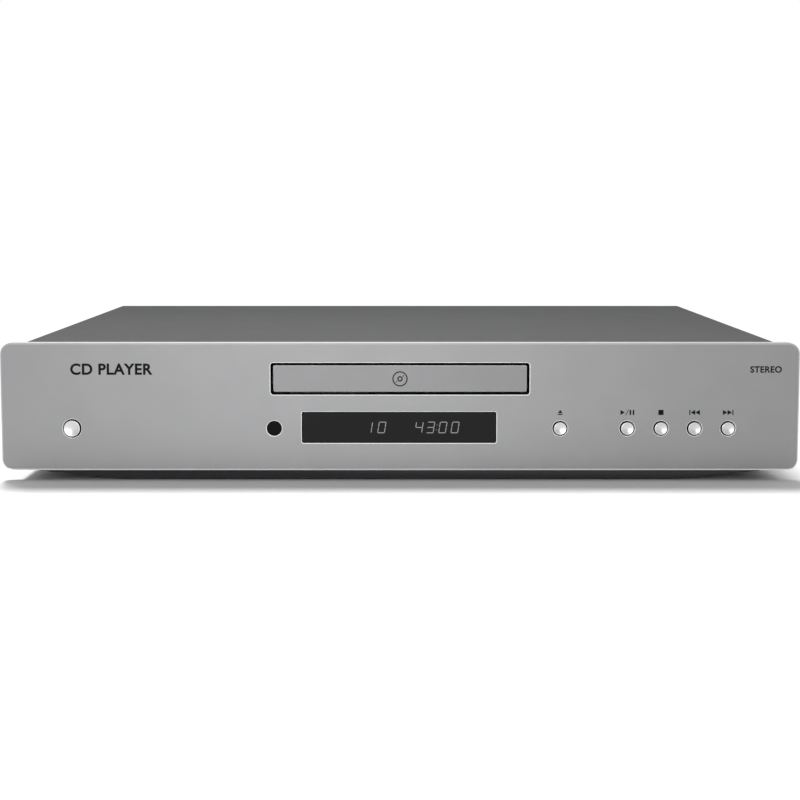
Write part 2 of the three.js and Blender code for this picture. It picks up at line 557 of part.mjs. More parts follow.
const DRIVE_X = 18.8 - TRAY_WIDTH / 2;
const LOADING_MOTOR_X = 15;
const LOADING_MOTOR = { radius: 12, height: 22, boss: 4, bossTop: 1.5, shaft: 1, shaftSink: 5, hole: 5 };
const POST = 2;
const BORE = POST + GAP;
const COLLAR = { drive: 5, pulley: 4, overlap: 1 };
const PULLEY_GROOVE = 8.5;
const MOTOR_GROOVE = 4.25;
const PULLEY_FLANGE = 1;
const PULLEY_RIM = 0.5;
const BELT_T = 1.1;
const BELT_ARC = 10;
const DISC_Y = FRONT_Y + DISC_SETBACK;
const TRAY_FRONT = FRONT_Y + DOOR_T + GAP;
const LOADER_FRONT = BOARD_BACK + 2;
const LOADER_INNER = TRAY_WIDTH / 2 + RUN;
const LOADER_OUTER = LOADER_INNER + LOADER_WALL;
const PULLEY_X = DRIVE_X + (MODULE * (REDUCTION_GEAR + PINION)) / 2 + MESH_SLACK;
const LOW_GEAR = [DECK[1] + 0.7, DECK[1] + 3.7];
const HIGH_GEAR = [RACK_LOW, TRAY_UNDER - RUN];
const PULLEY_HEIGHT = [HIGH_GEAR[0] - 0.4, HIGH_GEAR[1]];

// ---------------------------------------------------------------- driving dimensions: optical mechanism
const LENS_INNER = 25; // lens to turntable axis at the start of the disc
const SLED_TRAVEL = 34;
const SLED_HALF = { x: 23, y: 12 };
const TILT_Y = DISC_Y + LENS_INNER + SLED_TRAVEL + SLED_HALF.y + 9;
const TILT_Z = DECK[0] + 2.5;
const TILT_DEGREES = 6;
const TRAY_REAR = TILT_Y + 38; // back end of the closed tray
const LOADER_REAR = TRAY_REAR + LOADER_TAIL;
const TRAVERSE = { half: 34, front: DISC_Y - 22, rear: TILT_Y + 6, low: DECK[0] + 0.5, high: DECK[0] + 6.5 };
const TAB = { half: 5, thick: 3, below: 2, pinReach: 5 };
const TRUNNION_REACH = 10;
const BEARING = { overlap: 0.5, reach: 8, half: 5, rise: 4.5, blind: 1 };
const DECK_OPENING = { half: TRAVERSE.half + 4, front: TRAVERSE.front - 1.5, rear: TRAVERSE.rear + 4 };
const RAIL_X = 19;
const RAIL_Z = DECK[0] + 3.5;
const RAIL_RADIUS = 1.5;
const RAIL_SEAT = 3; // length of a guide rod's end inside the traverse
const SCREW_X = 27;
const SLED = { low: TRAVERSE.low + 0.5, high: DECK[0] + 8, finger: 4, fingerReach: 2.5 };
const SLED_WINDOW = { x: [-24, 31], y: [DISC_Y + 11, TILT_Y - 7] };
const LENS = { halfX: 9, halfY: 8.5, thick: 2.8, dome: 4.6, sink: 0.3, cutHalf: 6, rings: 8 };
const SPINDLE = { radius: 13, height: 12, shaft: 1, bore: 1.3, boss: 4, bossTop: 2, depth: 6, room: 6 };
const PLATTER = { radius: 16, under: DISC_SEAT - 0.8, top: DISC_SEAT + 1.2, hub: 7.3, hubTop: DISC_SEAT + 3.7,
  collar: 4, collarDrop: 3, crown: 1, crownIn: 1.2 };
const BRIDGE = { low: LOADER_TOP + GAP, half: 15, hole: 9 };
const PUCK = { low: PLATTER.hubTop + GAP, radius: 14, neck: 7.5, cap: 11, top: BRIDGE.low + SHEET + 2.1,
  edge: 0.4 };
const CAM = { travel: 24, y: [DISC_Y - 25.6, DISC_Y - 23.8], z: [DECK[0] - 20, DECK[0] - 0.5], x: [-70, 48],
  pin: 1.4, pinZ: DECK[0] - 4, room: 0.6 };
const SLOT_END = 0.98; // rounding of the cam slot's ends as a share of its half width
const SADDLE = { x: 44, half: 2.5, wall: 2 };
const EAR = { out: 13.5, half: 7, low: TRAY_Z - 7.7, high: TRAY_Z - 5.5, y: [FRONT_Y + 40, TILT_Y + 6] };
const DAMPER = { radius: 4.5, height: 3.4 };
const BRACKET_Y = [FRONT_Y + 30, TILT_Y + 14];
const MAIN_BOARD = { x: [8, BASE_X - 12.5], y: [BRACKET_Y[1] + 8, BOARDS_BACK] };
const LEDGE_INSET = 2.5; // ledge of a bracket out from the wall of the loader

function traySlide() {
  const half = TRAY_WIDTH / 2;
  const slab = block([-half, half], [TRAY_FRONT, TRAY_REAR], [TRAY_UNDER, TRAY_RIM]);
  const dish = rod(DISC_RADIUS + RUN, 'z', [DISC_SEAT, TRAY_RIM + PIERCE], [0, DISC_Y], DISC_ROUND);
  const smallDish = rod(SMALL_DISC.radius, 'z', [DISC_SEAT - SMALL_DISC.sink, TRAY_RIM + PIERCE], [0, DISC_Y],
    DISC_ROUND);
  const through = [TRAY_UNDER - PIERCE, TRAY_RIM + PIERCE];
  const centre = rod(TRAY_SLOT, 'z', through, [0, DISC_Y], WIDE_ROUND);
  const lane = block([-TRAY_SLOT, TRAY_SLOT], [DISC_Y, TRAY_REAR + PIERCE], through);
  const tail = block([LIP - half, half - LIP], [DISC_Y + DISC_RADIUS, TRAY_REAR + PIERCE],
    [DISC_SEAT, TRAY_RIM + PIERCE]);
  return named('disc_tray', cut(join(slab, rack()), dish, smallDish, centre, lane, tail),
    FINISH.blackPlastic());
}

// Toothed strip under the tray; one tooth stands exactly beside the drive gear when the drawer is shut.
function rack() {
  const pitch = Math.PI * MODULE;
  const pitchLine = DRIVE_X - (MODULE * RACK_TOOTH_GEAR) / 2 - MESH_SLACK;
  const root = pitchLine - RACK.below;
  const tip = pitchLine + RACK.above;
  const height = [RACK_LOW, TRAY_UNDER + 1];
  const start = DRIVE_Y + (RACK.first - 0.5) * pitch;
  const spine = block([root - RACK.spine, root + 0.1], [start, start + RACK_TEETH * pitch], height);
  const teeth = Array.from({ length: RACK_TEETH }, (_, i) => {
    const y = DRIVE_Y + (RACK.first + i) * pitch;
    const outline = [[root, y - RACK.foot], [tip, y - RACK.crest], [tip, y + RACK.crest],
      [root, y + RACK.foot]];
    return flatPlate(outline, height);
  });
  return join(spine, ...teeth);
}

function trayDoor() {
  const plate = uprightPlate(SLOT_WIDTH - 2 * DOOR_MARGIN, SLOT_HEIGHT - 2 * DOOR_MARGIN, PLATE_CORNER,
    [FRONT_Y, FRONT_Y + DOOR_T], 0, TRAY_Z, DOOR_CHAMFER);
  return named('tray_door', plate, FINISH.silver());
}

// Spur gear outline with straight-flanked teeth; `phase` is the angle of one tooth.
function gearOutline(teeth, phase) {
  const pitchRadius = (MODULE * teeth) / 2;
  const root = pitchRadius - TOOTH.below;
  const tip = pitchRadius + TOOTH.above;
  const corner = (radius, centre, offset) => {
    const angle = centre + offset / radius;
    return [radius * Math.cos(angle), radius * Math.sin(angle)];
  };
  return Array.from({ length: teeth }, (_, i) => phase + (i * 2 * Math.PI) / teeth).flatMap((centre) => [
    corner(root, centre, -TOOTH.foot), corner(tip, centre, -TOOTH.crest),
    corner(tip, centre, TOOTH.crest), corner(root, centre, TOOTH.foot),
  ]);
}

function driveGear() {
  const low = flatPlate(gearOutline(REDUCTION_GEAR, 0), LOW_GEAR);
  const high = flatPlate(gearOutline(RACK_TOOTH_GEAR, Math.PI / RACK_TOOTH_GEAR), HIGH_GEAR);
  const collarZ = [LOW_GEAR[1] - COLLAR.overlap, HIGH_GEAR[0] + COLLAR.overlap];
  const collar = rod(COLLAR.drive, 'z', collarZ, [0, 0]);
  const bore = rod(BORE, 'z', [DECK[1], TRAY_UNDER], [0, 0]);
  return named('drive_gear', cut(join(low, high, collar), bore), FINISH.whitePlastic(), DRIVE_X, DRIVE_Y);
}

// Grooved rim of a belt pulley as a loop of [radius, height] from its bore outwards.
function pulleyProfile(inner, groove, [low, high]) {
  const rim = groove + PULLEY_FLANGE;
  const slope = (high - low) / 4;
  return [[inner, low], [rim, low], [rim, low + PULLEY_RIM], [groove, low + slope], [groove, high - slope],
    [rim, high - PULLEY_RIM], [rim, high], [inner, high]];
}

function pulleyGear() {
  const pinion = flatPlate(gearOutline(PINION, Math.PI / PINION), LOW_GEAR);
  const wheel = turned(pulleyProfile(1, PULLEY_GROOVE, PULLEY_HEIGHT));
  const collarZ = [LOW_GEAR[1] - COLLAR.overlap, PULLEY_HEIGHT[0] + COLLAR.overlap];
  const collar = rod(COLLAR.pulley, 'z', collarZ, [0, 0]);
  const bore = rod(BORE, 'z', [DECK[1], TRAY_UNDER], [0, 0]);
  return named('pulley_gear', cut(join(pinion, wheel, collar), bore), FINISH.whitePlastic(), PULLEY_X,
    DRIVE_Y);
}

function motorPulley() {
  const { shaft: shaftRadius, shaftSink } = LOADING_MOTOR;
  const wheel = turned(pulleyProfile(shaftRadius / 2, MOTOR_GROOVE, PULLEY_HEIGHT));
  const shaft = rod(shaftRadius, 'z', [DECK[0] - shaftSink, PULLEY_HEIGHT[1]], [0, 0]);
  return named('motor_pulley', join(wheel, shaft), FINISH.whitePlastic(), LOADING_MOTOR_X, DRIVE_Y);
}

function loadingMotor() {
  const { radius, height, boss, bossTop, shaft, shaftSink } = LOADING_MOTOR;
  const shell = rod(radius, 'z', [DECK[0] - height, DECK[0] - GAP], [0, 0], WIDE_ROUND);
  const nose = rod(boss, 'z', [DECK[0] - 1, DECK[0] + bossTop], [0, 0]);
  const bore = rod(shaft + GAP, 'z', [DECK[0] - shaftSink - 1, DECK[0] + PIERCE], [0, 0]);
  return named('loading_motor', cut(join(shell, nose), bore), FINISH.steel(), LOADING_MOTOR_X, DRIVE_Y);
}

function driveBelt() {
  const distance = LOADING_MOTOR_X - PULLEY_X;
  const angle = Math.acos((PULLEY_GROOVE - MOTOR_GROOVE) / distance);
  const loop = (path, offset) => {
    path.absarc(0, 0, PULLEY_GROOVE + offset, angle, 2 * Math.PI - angle, false);
    path.absarc(distance, 0, MOTOR_GROOVE + offset, -angle, angle, false);
    path.closePath();
    return path;
  };
  const outline = loop(new THREE.Shape(), GAP + BELT_T);
  outline.holes.push(loop(new THREE.Path(), GAP));
  const middle = (PULLEY_HEIGHT[0] + PULLEY_HEIGHT[1]) / 2;
  const options = { depth: BELT_T, bevelEnabled: false, curveSegments: BELT_ARC };
  const band = new THREE.ExtrudeGeometry(outline, options);
  return named('drive_belt', join(band), FINISH.rubber(), PULLEY_X, DRIVE_Y, middle - BELT_T / 2);
}

// ---------------------------------------------------------------- loader frame
function mirroredBlock([x0, x1], y, z) {
  return SIDES.map((side) => block(side < 0 ? [-x1, -x0] : [x0, x1], y, z));
}

function camSaddles() {
  const inner = [CAM.y[0] - RUN, CAM.y[1] + RUN];
  return SIDES.map((side) => {
    const span = [side * SADDLE.x - SADDLE.half, side * SADDLE.x + SADDLE.half];
    const body = block(span, [inner[0] - SADDLE.wall, inner[1] + SADDLE.wall],
      [CAM.z[0] - RUN - SADDLE.wall, DECK[0] + GAP]);
    const channel = block([span[0] - PIERCE, span[1] + PIERCE], inner, [CAM.z[0] - RUN, DECK[0]]);
    return cut(body, channel);
  });
}

function loaderFrame() {
  const long = [LOADER_FRONT, LOADER_REAR];
  const deck = block([-LOADER_OUTER, LOADER_OUTER], long, DECK);
  const walls = mirroredBlock([LOADER_INNER, LOADER_OUTER], long, [DECK[0], LOADER_TOP]);
  const back = block([-LOADER_OUTER, LOADER_OUTER], [LOADER_REAR - LOADER_WALL, LOADER_REAR],
    [DECK[0], TRAY_RIM]);
  const upperLips = mirroredBlock([LOADER_INNER - LIP, LOADER_INNER + LIP_SINK], long,
    [TRAY_RIM + GAP, TRAY_RIM + GAP + LIP_T]);
  const lowerLips = mirroredBlock([TRAY_WIDTH / 2 - RUNNER.reach, LOADER_INNER + LIP_SINK], long,
    [TRAY_UNDER - GAP - RUNNER.thick, TRAY_UNDER - GAP]);
  const ears = EAR.y.flatMap((y) => mirroredBlock([LOADER_OUTER - LIP_SINK, LOADER_OUTER + EAR.out],
    [y - EAR.half, y + EAR.half], [EAR.low, EAR.high]));
  const bearings = mirroredBlock([DECK_OPENING.half - BEARING.overlap, DECK_OPENING.half + BEARING.reach],
    [TILT_Y - BEARING.half, TILT_Y + BEARING.half], [TILT_Z - BEARING.rise, TILT_Z + BEARING.rise]);
  const posts = [DRIVE_X, PULLEY_X].map((x) => rod(POST, 'z', [DECK[0] + 1, TRAY_UNDER - RUN], [x, DRIVE_Y]));
  const opening = block([-DECK_OPENING.half, DECK_OPENING.half], [DECK_OPENING.front, DECK_OPENING.rear],
    [DECK[0] - PIERCE, DECK[1] + PIERCE]);
  const shaftHole = rod(LOADING_MOTOR.hole, 'z', [DECK[0] - PIERCE, DECK[1] + PIERCE],
    [LOADING_MOTOR_X, DRIVE_Y]);
  const journalEnd = DECK_OPENING.half + BEARING.reach - BEARING.blind;
  const journal = rod(POST + GAP, 'x', [-journalEnd, journalEnd], [TILT_Y, TILT_Z]);
  const shell = cut(join(deck, ...walls, back, ...upperLips, ...lowerLips, ...ears), opening, shaftHole);
  return named('loader_frame', cut(join(shell, ...camSaddles(), ...bearings, ...posts), journal),
    FINISH.blackPlastic());
}

// Sliding plate with a sloping slot that lowers the front of the traverse as it moves to the right.
function camSlider() {
  const reach = TILT_Y - (CAM.y[0] + CAM.y[1]) / 2;
  const drop = reach * Math.sin(THREE.MathUtils.degToRad(TILT_DEGREES));
  const slope = Math.atan2(drop, CAM.travel);
  const radius = CAM.pin + CAM.room;
  const slot = uprightPlate(Math.hypot(drop, CAM.travel) + 2 * radius, 2 * radius, radius * SLOT_END,
    [-PIERCE, PIERCE], 0, 0).rotateY(-slope);
  slot.translate(-CAM.travel / 2, (CAM.y[0] + CAM.y[1]) / 2, CAM.pinZ - drop / 2);
  return named('cam_slider', cut(block(CAM.x, CAM.y, CAM.z), slot), FINISH.whitePlastic());
}

// ---------------------------------------------------------------- optical mechanism
const SLED_MOTOR = { radius: 5.2, y: [DISC_Y - 8.5, DISC_Y + 6], shaftIn: 3 };
const POCKET_Y = [SLED_MOTOR.y[0] - GAP, SLED_MOTOR.y[1] + GAP];
const RAIL_Y = [SLED_WINDOW.y[0] - RAIL_SEAT, SLED_WINDOW.y[1] + RAIL_SEAT];

function traverse() {
  const { half, front, rear, low, high } = TRAVERSE;
  const plate = block([-half, half], [front, rear], [low, high]);
  const tab = block([-TAB.half, TAB.half], [front, front + TAB.thick], [CAM.pinZ - TAB.below, low + 1]);
  const follower = rod(CAM.pin, 'y', [front - TAB.pinReach, front + 1], [0, CAM.pinZ]);
  const trunnions = rod(POST, 'x', [-half - TRUNNION_REACH, half + TRUNNION_REACH], [TILT_Y, TILT_Z]);
  const through = [low - PIERCE, high + PIERCE];
  const window = block(SLED_WINDOW.x, SLED_WINDOW.y, through);
  const shaftHole = rod(SPINDLE.room, 'z', through, [0, DISC_Y]);
  const pocket = block([SCREW_X - SLED_MOTOR.radius - GAP, half + PIERCE], POCKET_Y, through);
  const seats = [-RAIL_X, RAIL_X].map((x) => rod(RAIL_RADIUS + GAP, 'y', [RAIL_Y[0] - GAP, RAIL_Y[1] + GAP],
    [x, RAIL_Z]));
  const journal = rod(RAIL_RADIUS + GAP, 'y', [POCKET_Y[1] - GAP, RAIL_Y[1] + GAP], [SCREW_X, RAIL_Z]);
  const holes = [window, shaftHole, pocket, ...seats, journal];
  return named('traverse', cut(join(plate, tab, follower, trunnions), ...holes), FINISH.steel());
}

function spindleMotor() {
  const top = TRAVERSE.low - GAP;
  const shell = rod(SPINDLE.radius, 'z', [top - SPINDLE.height, top], [0, 0], WIDE_ROUND);
  const boss = rod(SPINDLE.boss, 'z', [top - 1, top + SPINDLE.bossTop], [0, 0]);
  const bore = rod(SPINDLE.bore, 'z', [top - SPINDLE.depth, top + SPINDLE.bossTop + 1], [0, 0]);
  return named('spindle_motor', cut(join(shell, boss), bore), FINISH.steel(), 0, DISC_Y);
}

function turntable() {
  const { radius, under, top, hub, hubTop, collar, collarDrop, crown, crownIn } = PLATTER;
  const shaftEnd = TRAVERSE.low - GAP - SPINDLE.depth + 1;
  const neck = under - collarDrop;
  const profile = [[0, shaftEnd], [SPINDLE.shaft, shaftEnd], [SPINDLE.shaft, neck], [collar, neck],
    [collar, under], [radius, under], [radius, top], [hub, top], [hub, hubTop - crown],
    [hub - crownIn, hubTop], [0, hubTop]];
  return named('turntable', join(solidTurned(profile)), FINISH.blackPlastic(), 0, DISC_Y);
}

function pickupSled() {
  const body = block([-SLED_HALF.x, SLED_HALF.x], [-SLED_HALF.y, SLED_HALF.y], [SLED.low, SLED.high]);
  const finger = block([SLED_HALF.x - 1, SCREW_X + SLED.fingerReach], [-SLED.finger, SLED.finger],
    [RAIL_Z + RAIL_RADIUS + RUN, SLED.high]);
  const bores = [-RAIL_X, RAIL_X].map((x) => rod(RAIL_RADIUS + GAP, 'y', [-SLED_HALF.y - 1, SLED_HALF.y + 1],
    [x, RAIL_Z]));
  return named('pickup_sled', cut(join(body, finger), ...bores), FINISH.steel(), 0, DISC_Y + LENS_INNER);
}

function pickupLens() {
  const { halfX, halfY, thick, sink, cutHalf } = LENS;
  const carrier = block([-halfX, halfX], [-halfY, halfY], [SLED.high + GAP, SLED.high + thick]);
  const dome = new THREE.SphereGeometry(LENS.dome, ROUND, LENS.rings).translate(0, 0, SLED.high - sink);
  const above = block([-cutHalf, cutHalf], [-cutHalf, cutHalf], [SLED.high + 1, SLED.high + cutHalf]);
  return named('pickup_lens', join(carrier, common(dome, above)), FINISH.blackPlastic(), 0,
    DISC_Y + LENS_INNER);
}

function rails() {
  return [['left', -RAIL_X], ['right', RAIL_X]].map(([hand, x]) => named(`guide_rod_${hand}`,
    rod(RAIL_RADIUS, 'y', RAIL_Y, [x, RAIL_Z]), FINISH.bright()));
}

function leadScrew() {
  const screw = rod(RAIL_RADIUS, 'y', [SLED_MOTOR.y[1] - SLED_MOTOR.shaftIn, RAIL_Y[1]], [0, 0]);
  return named('lead_screw', screw, FINISH.bright(), SCREW_X, 0, RAIL_Z);
}

function sledMotor() {
  const [front, back] = SLED_MOTOR.y;
  const shell = rod(SLED_MOTOR.radius, 'y', [front, back], [0, 0]);
  const bore = rod(RAIL_RADIUS + GAP, 'y', [back - SLED_MOTOR.shaftIn - 1, back + PIERCE], [0, 0]);
  return named('sled_motor', cut(shell, bore), FINISH.steel(), SCREW_X, 0, RAIL_Z);
}

function clampBridge() {
  const strap = block([-LOADER_OUTER, LOADER_OUTER], [DISC_Y - BRIDGE.half, DISC_Y + BRIDGE.half],
    [BRIDGE.low, BRIDGE.low + SHEET]);
  const through = [BRIDGE.low - PIERCE, BRIDGE.low + SHEET + PIERCE];
  const hole = rod(BRIDGE.hole, 'z', through, [0, DISC_Y], WIDE_ROUND);
  return named('clamp_bridge', cut(strap, hole), FINISH.steel());
}

function clampPuck() {
  const { low, radius, neck, cap, top, edge } = PUCK;
  const rim = BRIDGE.low - RUN;
  const capLow = BRIDGE.low + SHEET + RUN;
  const profile = [[0, low], [radius, low], [radius, rim], [neck, rim], [neck, capLow], [cap, capLow],
    [cap, top - edge], [cap - edge, top], [0, top]];
  return named('clamp_puck', join(solidTurned(profile)), FINISH.blackPlastic(), 0, DISC_Y);
}

const LEDGE_TOP = EAR.low - 2 * GAP - DAMPER.height;
const BRACKET_X = LOADER_OUTER + EAR.out - 1;
const SIGNAL_X = BRACKET_X + FLANGE + 16; // the cable between the two boards runs here

function bracket(hand, side) {
  const wall = block([BRACKET_X, BRACKET_X + SHEET], BRACKET_Y, [FLOOR_TOP + GAP, LEDGE_TOP]);
  const ledge = block([LOADER_OUTER + LEDGE_INSET, BRACKET_X + SHEET], BRACKET_Y,
    [LEDGE_TOP - SHEET, LEDGE_TOP]);
  const foot = block([BRACKET_X, BRACKET_X + FLANGE], BRACKET_Y, [FLOOR_TOP + GAP, FLOOR_TOP + GAP + SHEET]);
  const turn = side < 0 ? Math.PI : 0;
  const folded = join(wall, ledge, foot);
  const middle = (BRACKET_Y[0] + BRACKET_Y[1]) / 2;
  folded.translate(0, -middle, 0).rotateZ(turn);
  return named(`mech_bracket_${hand}`, folded, FINISH.steel(), 0, middle);
}

function dampers() {
  const x = LOADER_OUTER + EAR.out / 2;
  const rows = [['front', EAR.y[0]], ['rear', EAR.y[1]]];
  return rows.flatMap(([row, y]) => [['left', -1], ['right', 1]].map(([hand, side]) => named(
    `damper_${row}_${hand}`,
    rod(DAMPER.radius, 'z', [LEDGE_TOP + GAP, LEDGE_TOP + GAP + DAMPER.height], [0, 0]),
    FINISH.rubber(), side * x, y)));
}

// ---------------------------------------------------------------- electronics on the base
const BOARD_TOP_Z = BOARD_Z + BOARD_T;
const FLEX_X = 25;
const BOARD_SOCKET = { setback: 6, half: 2, height: 5 };
const DISPLAY_RIBBON = { width: 20, thick: 0.8 };
const PICKUP_RIBBON = { width: 14, thick: 0.6 };
const LEAD_RADIUS = 2;
const FEED = { back: 54, width: 14, depth: 8, height: 8 }; // mains terminal on the supply board
const TAP = { back: 5, width: 18, depth: 5, height: 8 }; // terminal for the transformer's winding
// Components as [x, y, width, depth, height] and [x, y, radius, height] from a board's left front corner.
const MAIN_CHIPS = [[62, 40, 14, 14, 2], [106, 34, 18, 18, 2.2], [140, 56, 8, 14, 2], [162, 56, 8, 14, 2]];
const MAIN_CANS = [[120, 80, 4, 12], [136, 80, 4, 12], [152, 80, 4, 12], [168, 80, 4, 12]];
const SUPPLY_CANS = [[20, 22, 9, 25], [42, 22, 9, 25], [62, 20, 5, 14]];
const SUPPLY_CHIPS = [[80, 40, 3, 34, 24]];
const BOBBIN = { width: 42.16, margin: 8 };
const CORE_FOOT = { reach: 9, half: 9, thick: 1.6, hole: 2, holeOut: 5 };

// Component standing on a board, sunk a little into it so that the two are one body.
function chip(x, y, width, depth, height) {
  return block([x - width / 2, x + width / 2], [y - depth / 2, y + depth / 2],
    [BOARD_TOP_Z - BOARD_T / 2, BOARD_TOP_Z + height]);
}

function populated({ x: [left], y: [front] }, chips, cans) {
  return [
    ...chips.map(([x, y, width, depth, height]) => chip(left + x, front + y, width, depth, height)),
    ...cans.map(([x, y, radius, height]) => (
      rod(radius, 'z', [BOARD_TOP_Z - BOARD_T / 2, BOARD_TOP_Z + height], [left + x, front + y]))),
  ];
}

function mainBoard() {
  const { setback, half, height } = BOARD_SOCKET;
  const sheet = block(MAIN_BOARD.x, MAIN_BOARD.y, [BOARD_Z, BOARD_TOP_Z]);
  const row = MAIN_BOARD.y[0] + setback;
  const sockets = [chip(FLEX_X, row, PICKUP_RIBBON.width + 2, 2 * half, height),
    chip(SIGNAL_X, row, 2 * SIGNAL_SOCKET.half, 2 * half, height)];
  return named('main_board', join(sheet, ...sockets, ...populated(MAIN_BOARD, MAIN_CHIPS, MAIN_CANS)),
    FINISH.board());
}

function supplyBoard() {
  const [front] = SUPPLY_BOARD.y;
  const sheet = block(SUPPLY_BOARD.x, SUPPLY_BOARD.y, [BOARD_Z, BOARD_TOP_Z]);
  const terminals = [chip(CORE.x, front + TAP.back, TAP.width, TAP.depth, TAP.height),
    chip(INLET.x, front + FEED.back, FEED.width, FEED.depth, FEED.height)];
  const parts = populated(SUPPLY_BOARD, SUPPLY_CHIPS, SUPPLY_CANS);
  return named('supply_board', join(sheet, ...terminals, ...parts), FINISH.board());
}

// Laminated core on two mounting feet with the winding bobbin through its middle.
function transformer() {
  const low = FLOOR_TOP + GAP;
  const { reach, half, thick, hole, holeOut } = CORE_FOOT;
  const side = CORE.width / 2;
  const core = block([-side, side], [-CORE.stack / 2, CORE.stack / 2], [low, low + CORE.height]);
  const bobbin = block([-BOBBIN.width / 2, BOBBIN.width / 2], [-CORE.depth / 2, CORE.depth / 2],
    [low + BOBBIN.margin, low + CORE.height - BOBBIN.margin]);
  const feet = block([-side - reach, side + reach], [-half, half], [low, low + thick]);
  const holes = SIDES.map((hand) => rod(hole, 'z', [0, low + thick + PIERCE], [hand * (side + holeOut), 0]));
  return named('transformer', cut(join(core, bobbin, feet), ...holes), FINISH.steel(), CORE.x, CORE.y);
}

function flatSection({ width, thick }) {
  const half = width / 2;
  const edge = thick / 2;
  const places = [[-half, -edge], [half, -edge], [half, edge], [-half, edge]];
  return new THREE.Shape(places.map(([x, y]) => new THREE.Vector2(x, y)));
}

function roundSection(radius, sides) {
  return new THREE.Shape(Array.from({ length: sides }, (_, i) => {
    const angle = (i * 2 * Math.PI) / sides;
    return new THREE.Vector2(radius * Math.cos(angle), radius * Math.sin(angle));
  }));
}

function cables() {
  const boardFront = MAIN_BOARD.y[0];
  const socketFace = boardFront + BOARD_SOCKET.setback - BOARD_SOCKET.half - GAP;
  const supplyFront = SUPPLY_BOARD.y[0];
  const coreFront = CORE.y + CORE.depth / 2;
  const display = [[0, BOARD_BACK + SIGNAL_SOCKET.reach + GAP, 20], [0, BOARD_BACK + 11, 19],
    [0, BOARD_BACK + 19, 11], [0, BOARD_BACK + 30, 9], [0, boardFront - 30, 9], [0, boardFront - 14, 10],
    [0, boardFront - 5, 17], [0, boardFront + 1, 19.3], [0, socketFace, 19.5]];
  const pickup = [[0, TILT_Y + 3, TRAVERSE.low - GAP], [0, TILT_Y + 4, TRAVERSE.low - 8],
    [0, boardFront - 12, 22], [0, boardFront - 3, 19.2], [0, socketFace, 19.2]];
  const mains = [[INLET.x, POWER_BACK - GAP, POWER_Z], [INLET.x, POWER_BACK - 6, POWER_Z - 0.5],
    [INLET.x, supplyFront + FEED.back + 1, POWER_Z - 5],
    [INLET.x, supplyFront + FEED.back, BOARD_TOP_Z + FEED.height + GAP]];
  const secondary = [[CORE.x, coreFront + GAP, 30], [CORE.x, coreFront + 8, 29.5],
    [CORE.x, supplyFront - 6, 22], [CORE.x, supplyFront + TAP.back - TAP.depth / 2 - GAP, 21]];
  const lead = roundSection(LEAD_RADIUS, LEAD_ROUND);
  return [
    named('display_ribbon', join(strip(flatSection(DISPLAY_RIBBON), display, 24)), FINISH.ribbon(),
      SIGNAL_X),
    named('pickup_ribbon', join(strip(flatSection(PICKUP_RIBBON), pickup, 14)), FINISH.ribbon(), FLEX_X),
    named('mains_lead', join(strip(lead, mains, 10)), FINISH.blackPlastic()),
    named('secondary_lead', join(strip(lead, secondary, 10)), FINISH.copper()),
  ];
}

// ---------------------------------------------------------------- the whole machine
const player = assembly(
  assembly(basePan(), frontSubframe(), frontPanel(), topCover(), rearPanel(),
    plinth('front_plinth', FRONT_PLINTH_Y), plinth('rear_plinth', REAR_PLINTH_Y), ...footPads()),
  assembly(...BUTTONS.map(pushButton), displayWindow(), displayModule(), irWindow(), controlBoard()),
  assembly(traySlide(), trayDoor(), driveGear(), pulleyGear(), motorPulley(), loadingMotor(), driveBelt(),
    loaderFrame(), camSlider(), clampBridge(), clampPuck(), bracket('left', -1), bracket('right', 1),
    ...dampers()),
  assembly(traverse(), spindleMotor(), turntable(), pickupSled(), pickupLens(), ...rails(), leadScrew(),
    sledMotor()),
  assembly(mainBoard(), supplyBoard(), transformer(), ...cables()),
  assembly(mainsInlet(), powerRocker(), opticalOut(), opticalShutter(), phonoJacks('coax_jack', [COAX_X]),
    phonoJacks('line_out_jacks', LINE_X)),
);

export default player;
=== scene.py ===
"""Looks of a full-width compact disc player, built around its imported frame.

Each sub-assembly is a class that holds its own sizes in metres, models its pieces with bmesh
operators and dresses them. X runs across the machine, the front faces -Y and Z is up.
"""

import json
import logging
import math
from dataclasses import dataclass, field
from enum import Enum
from typing import Iterable, Sequence

import bmesh
import bpy
from mathutils import Matrix, Vector


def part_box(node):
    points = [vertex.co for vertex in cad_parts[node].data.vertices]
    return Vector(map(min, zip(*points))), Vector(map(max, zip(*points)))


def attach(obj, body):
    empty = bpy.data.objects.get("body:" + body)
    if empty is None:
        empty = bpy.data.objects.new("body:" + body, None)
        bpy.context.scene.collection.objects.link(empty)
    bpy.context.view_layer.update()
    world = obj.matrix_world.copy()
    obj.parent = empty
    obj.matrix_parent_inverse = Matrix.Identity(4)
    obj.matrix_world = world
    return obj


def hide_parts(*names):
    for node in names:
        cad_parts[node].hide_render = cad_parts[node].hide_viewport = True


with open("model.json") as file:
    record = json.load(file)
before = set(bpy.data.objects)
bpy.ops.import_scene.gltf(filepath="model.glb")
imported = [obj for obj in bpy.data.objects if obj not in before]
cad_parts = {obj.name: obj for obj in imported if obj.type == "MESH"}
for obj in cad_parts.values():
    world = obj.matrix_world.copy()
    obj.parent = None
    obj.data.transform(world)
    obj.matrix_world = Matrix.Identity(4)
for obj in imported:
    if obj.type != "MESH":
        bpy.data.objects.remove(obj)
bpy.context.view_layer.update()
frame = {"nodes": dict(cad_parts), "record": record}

LOG = logging.getLogger("cd_player")
MM = 0.001
CHASSIS = "chassis"
PRINT_DEPTH = 0.06 * MM
EYE_RADIUS = 3.9 * MM
SIGN_RISE = 8.7 * MM
CAP_TO_FLANGE = 1.35 * MM
BUTTON_NODES = ("standby_button", "eject_button", "play_button", "stop_button", "previous_button",
                "next_button")

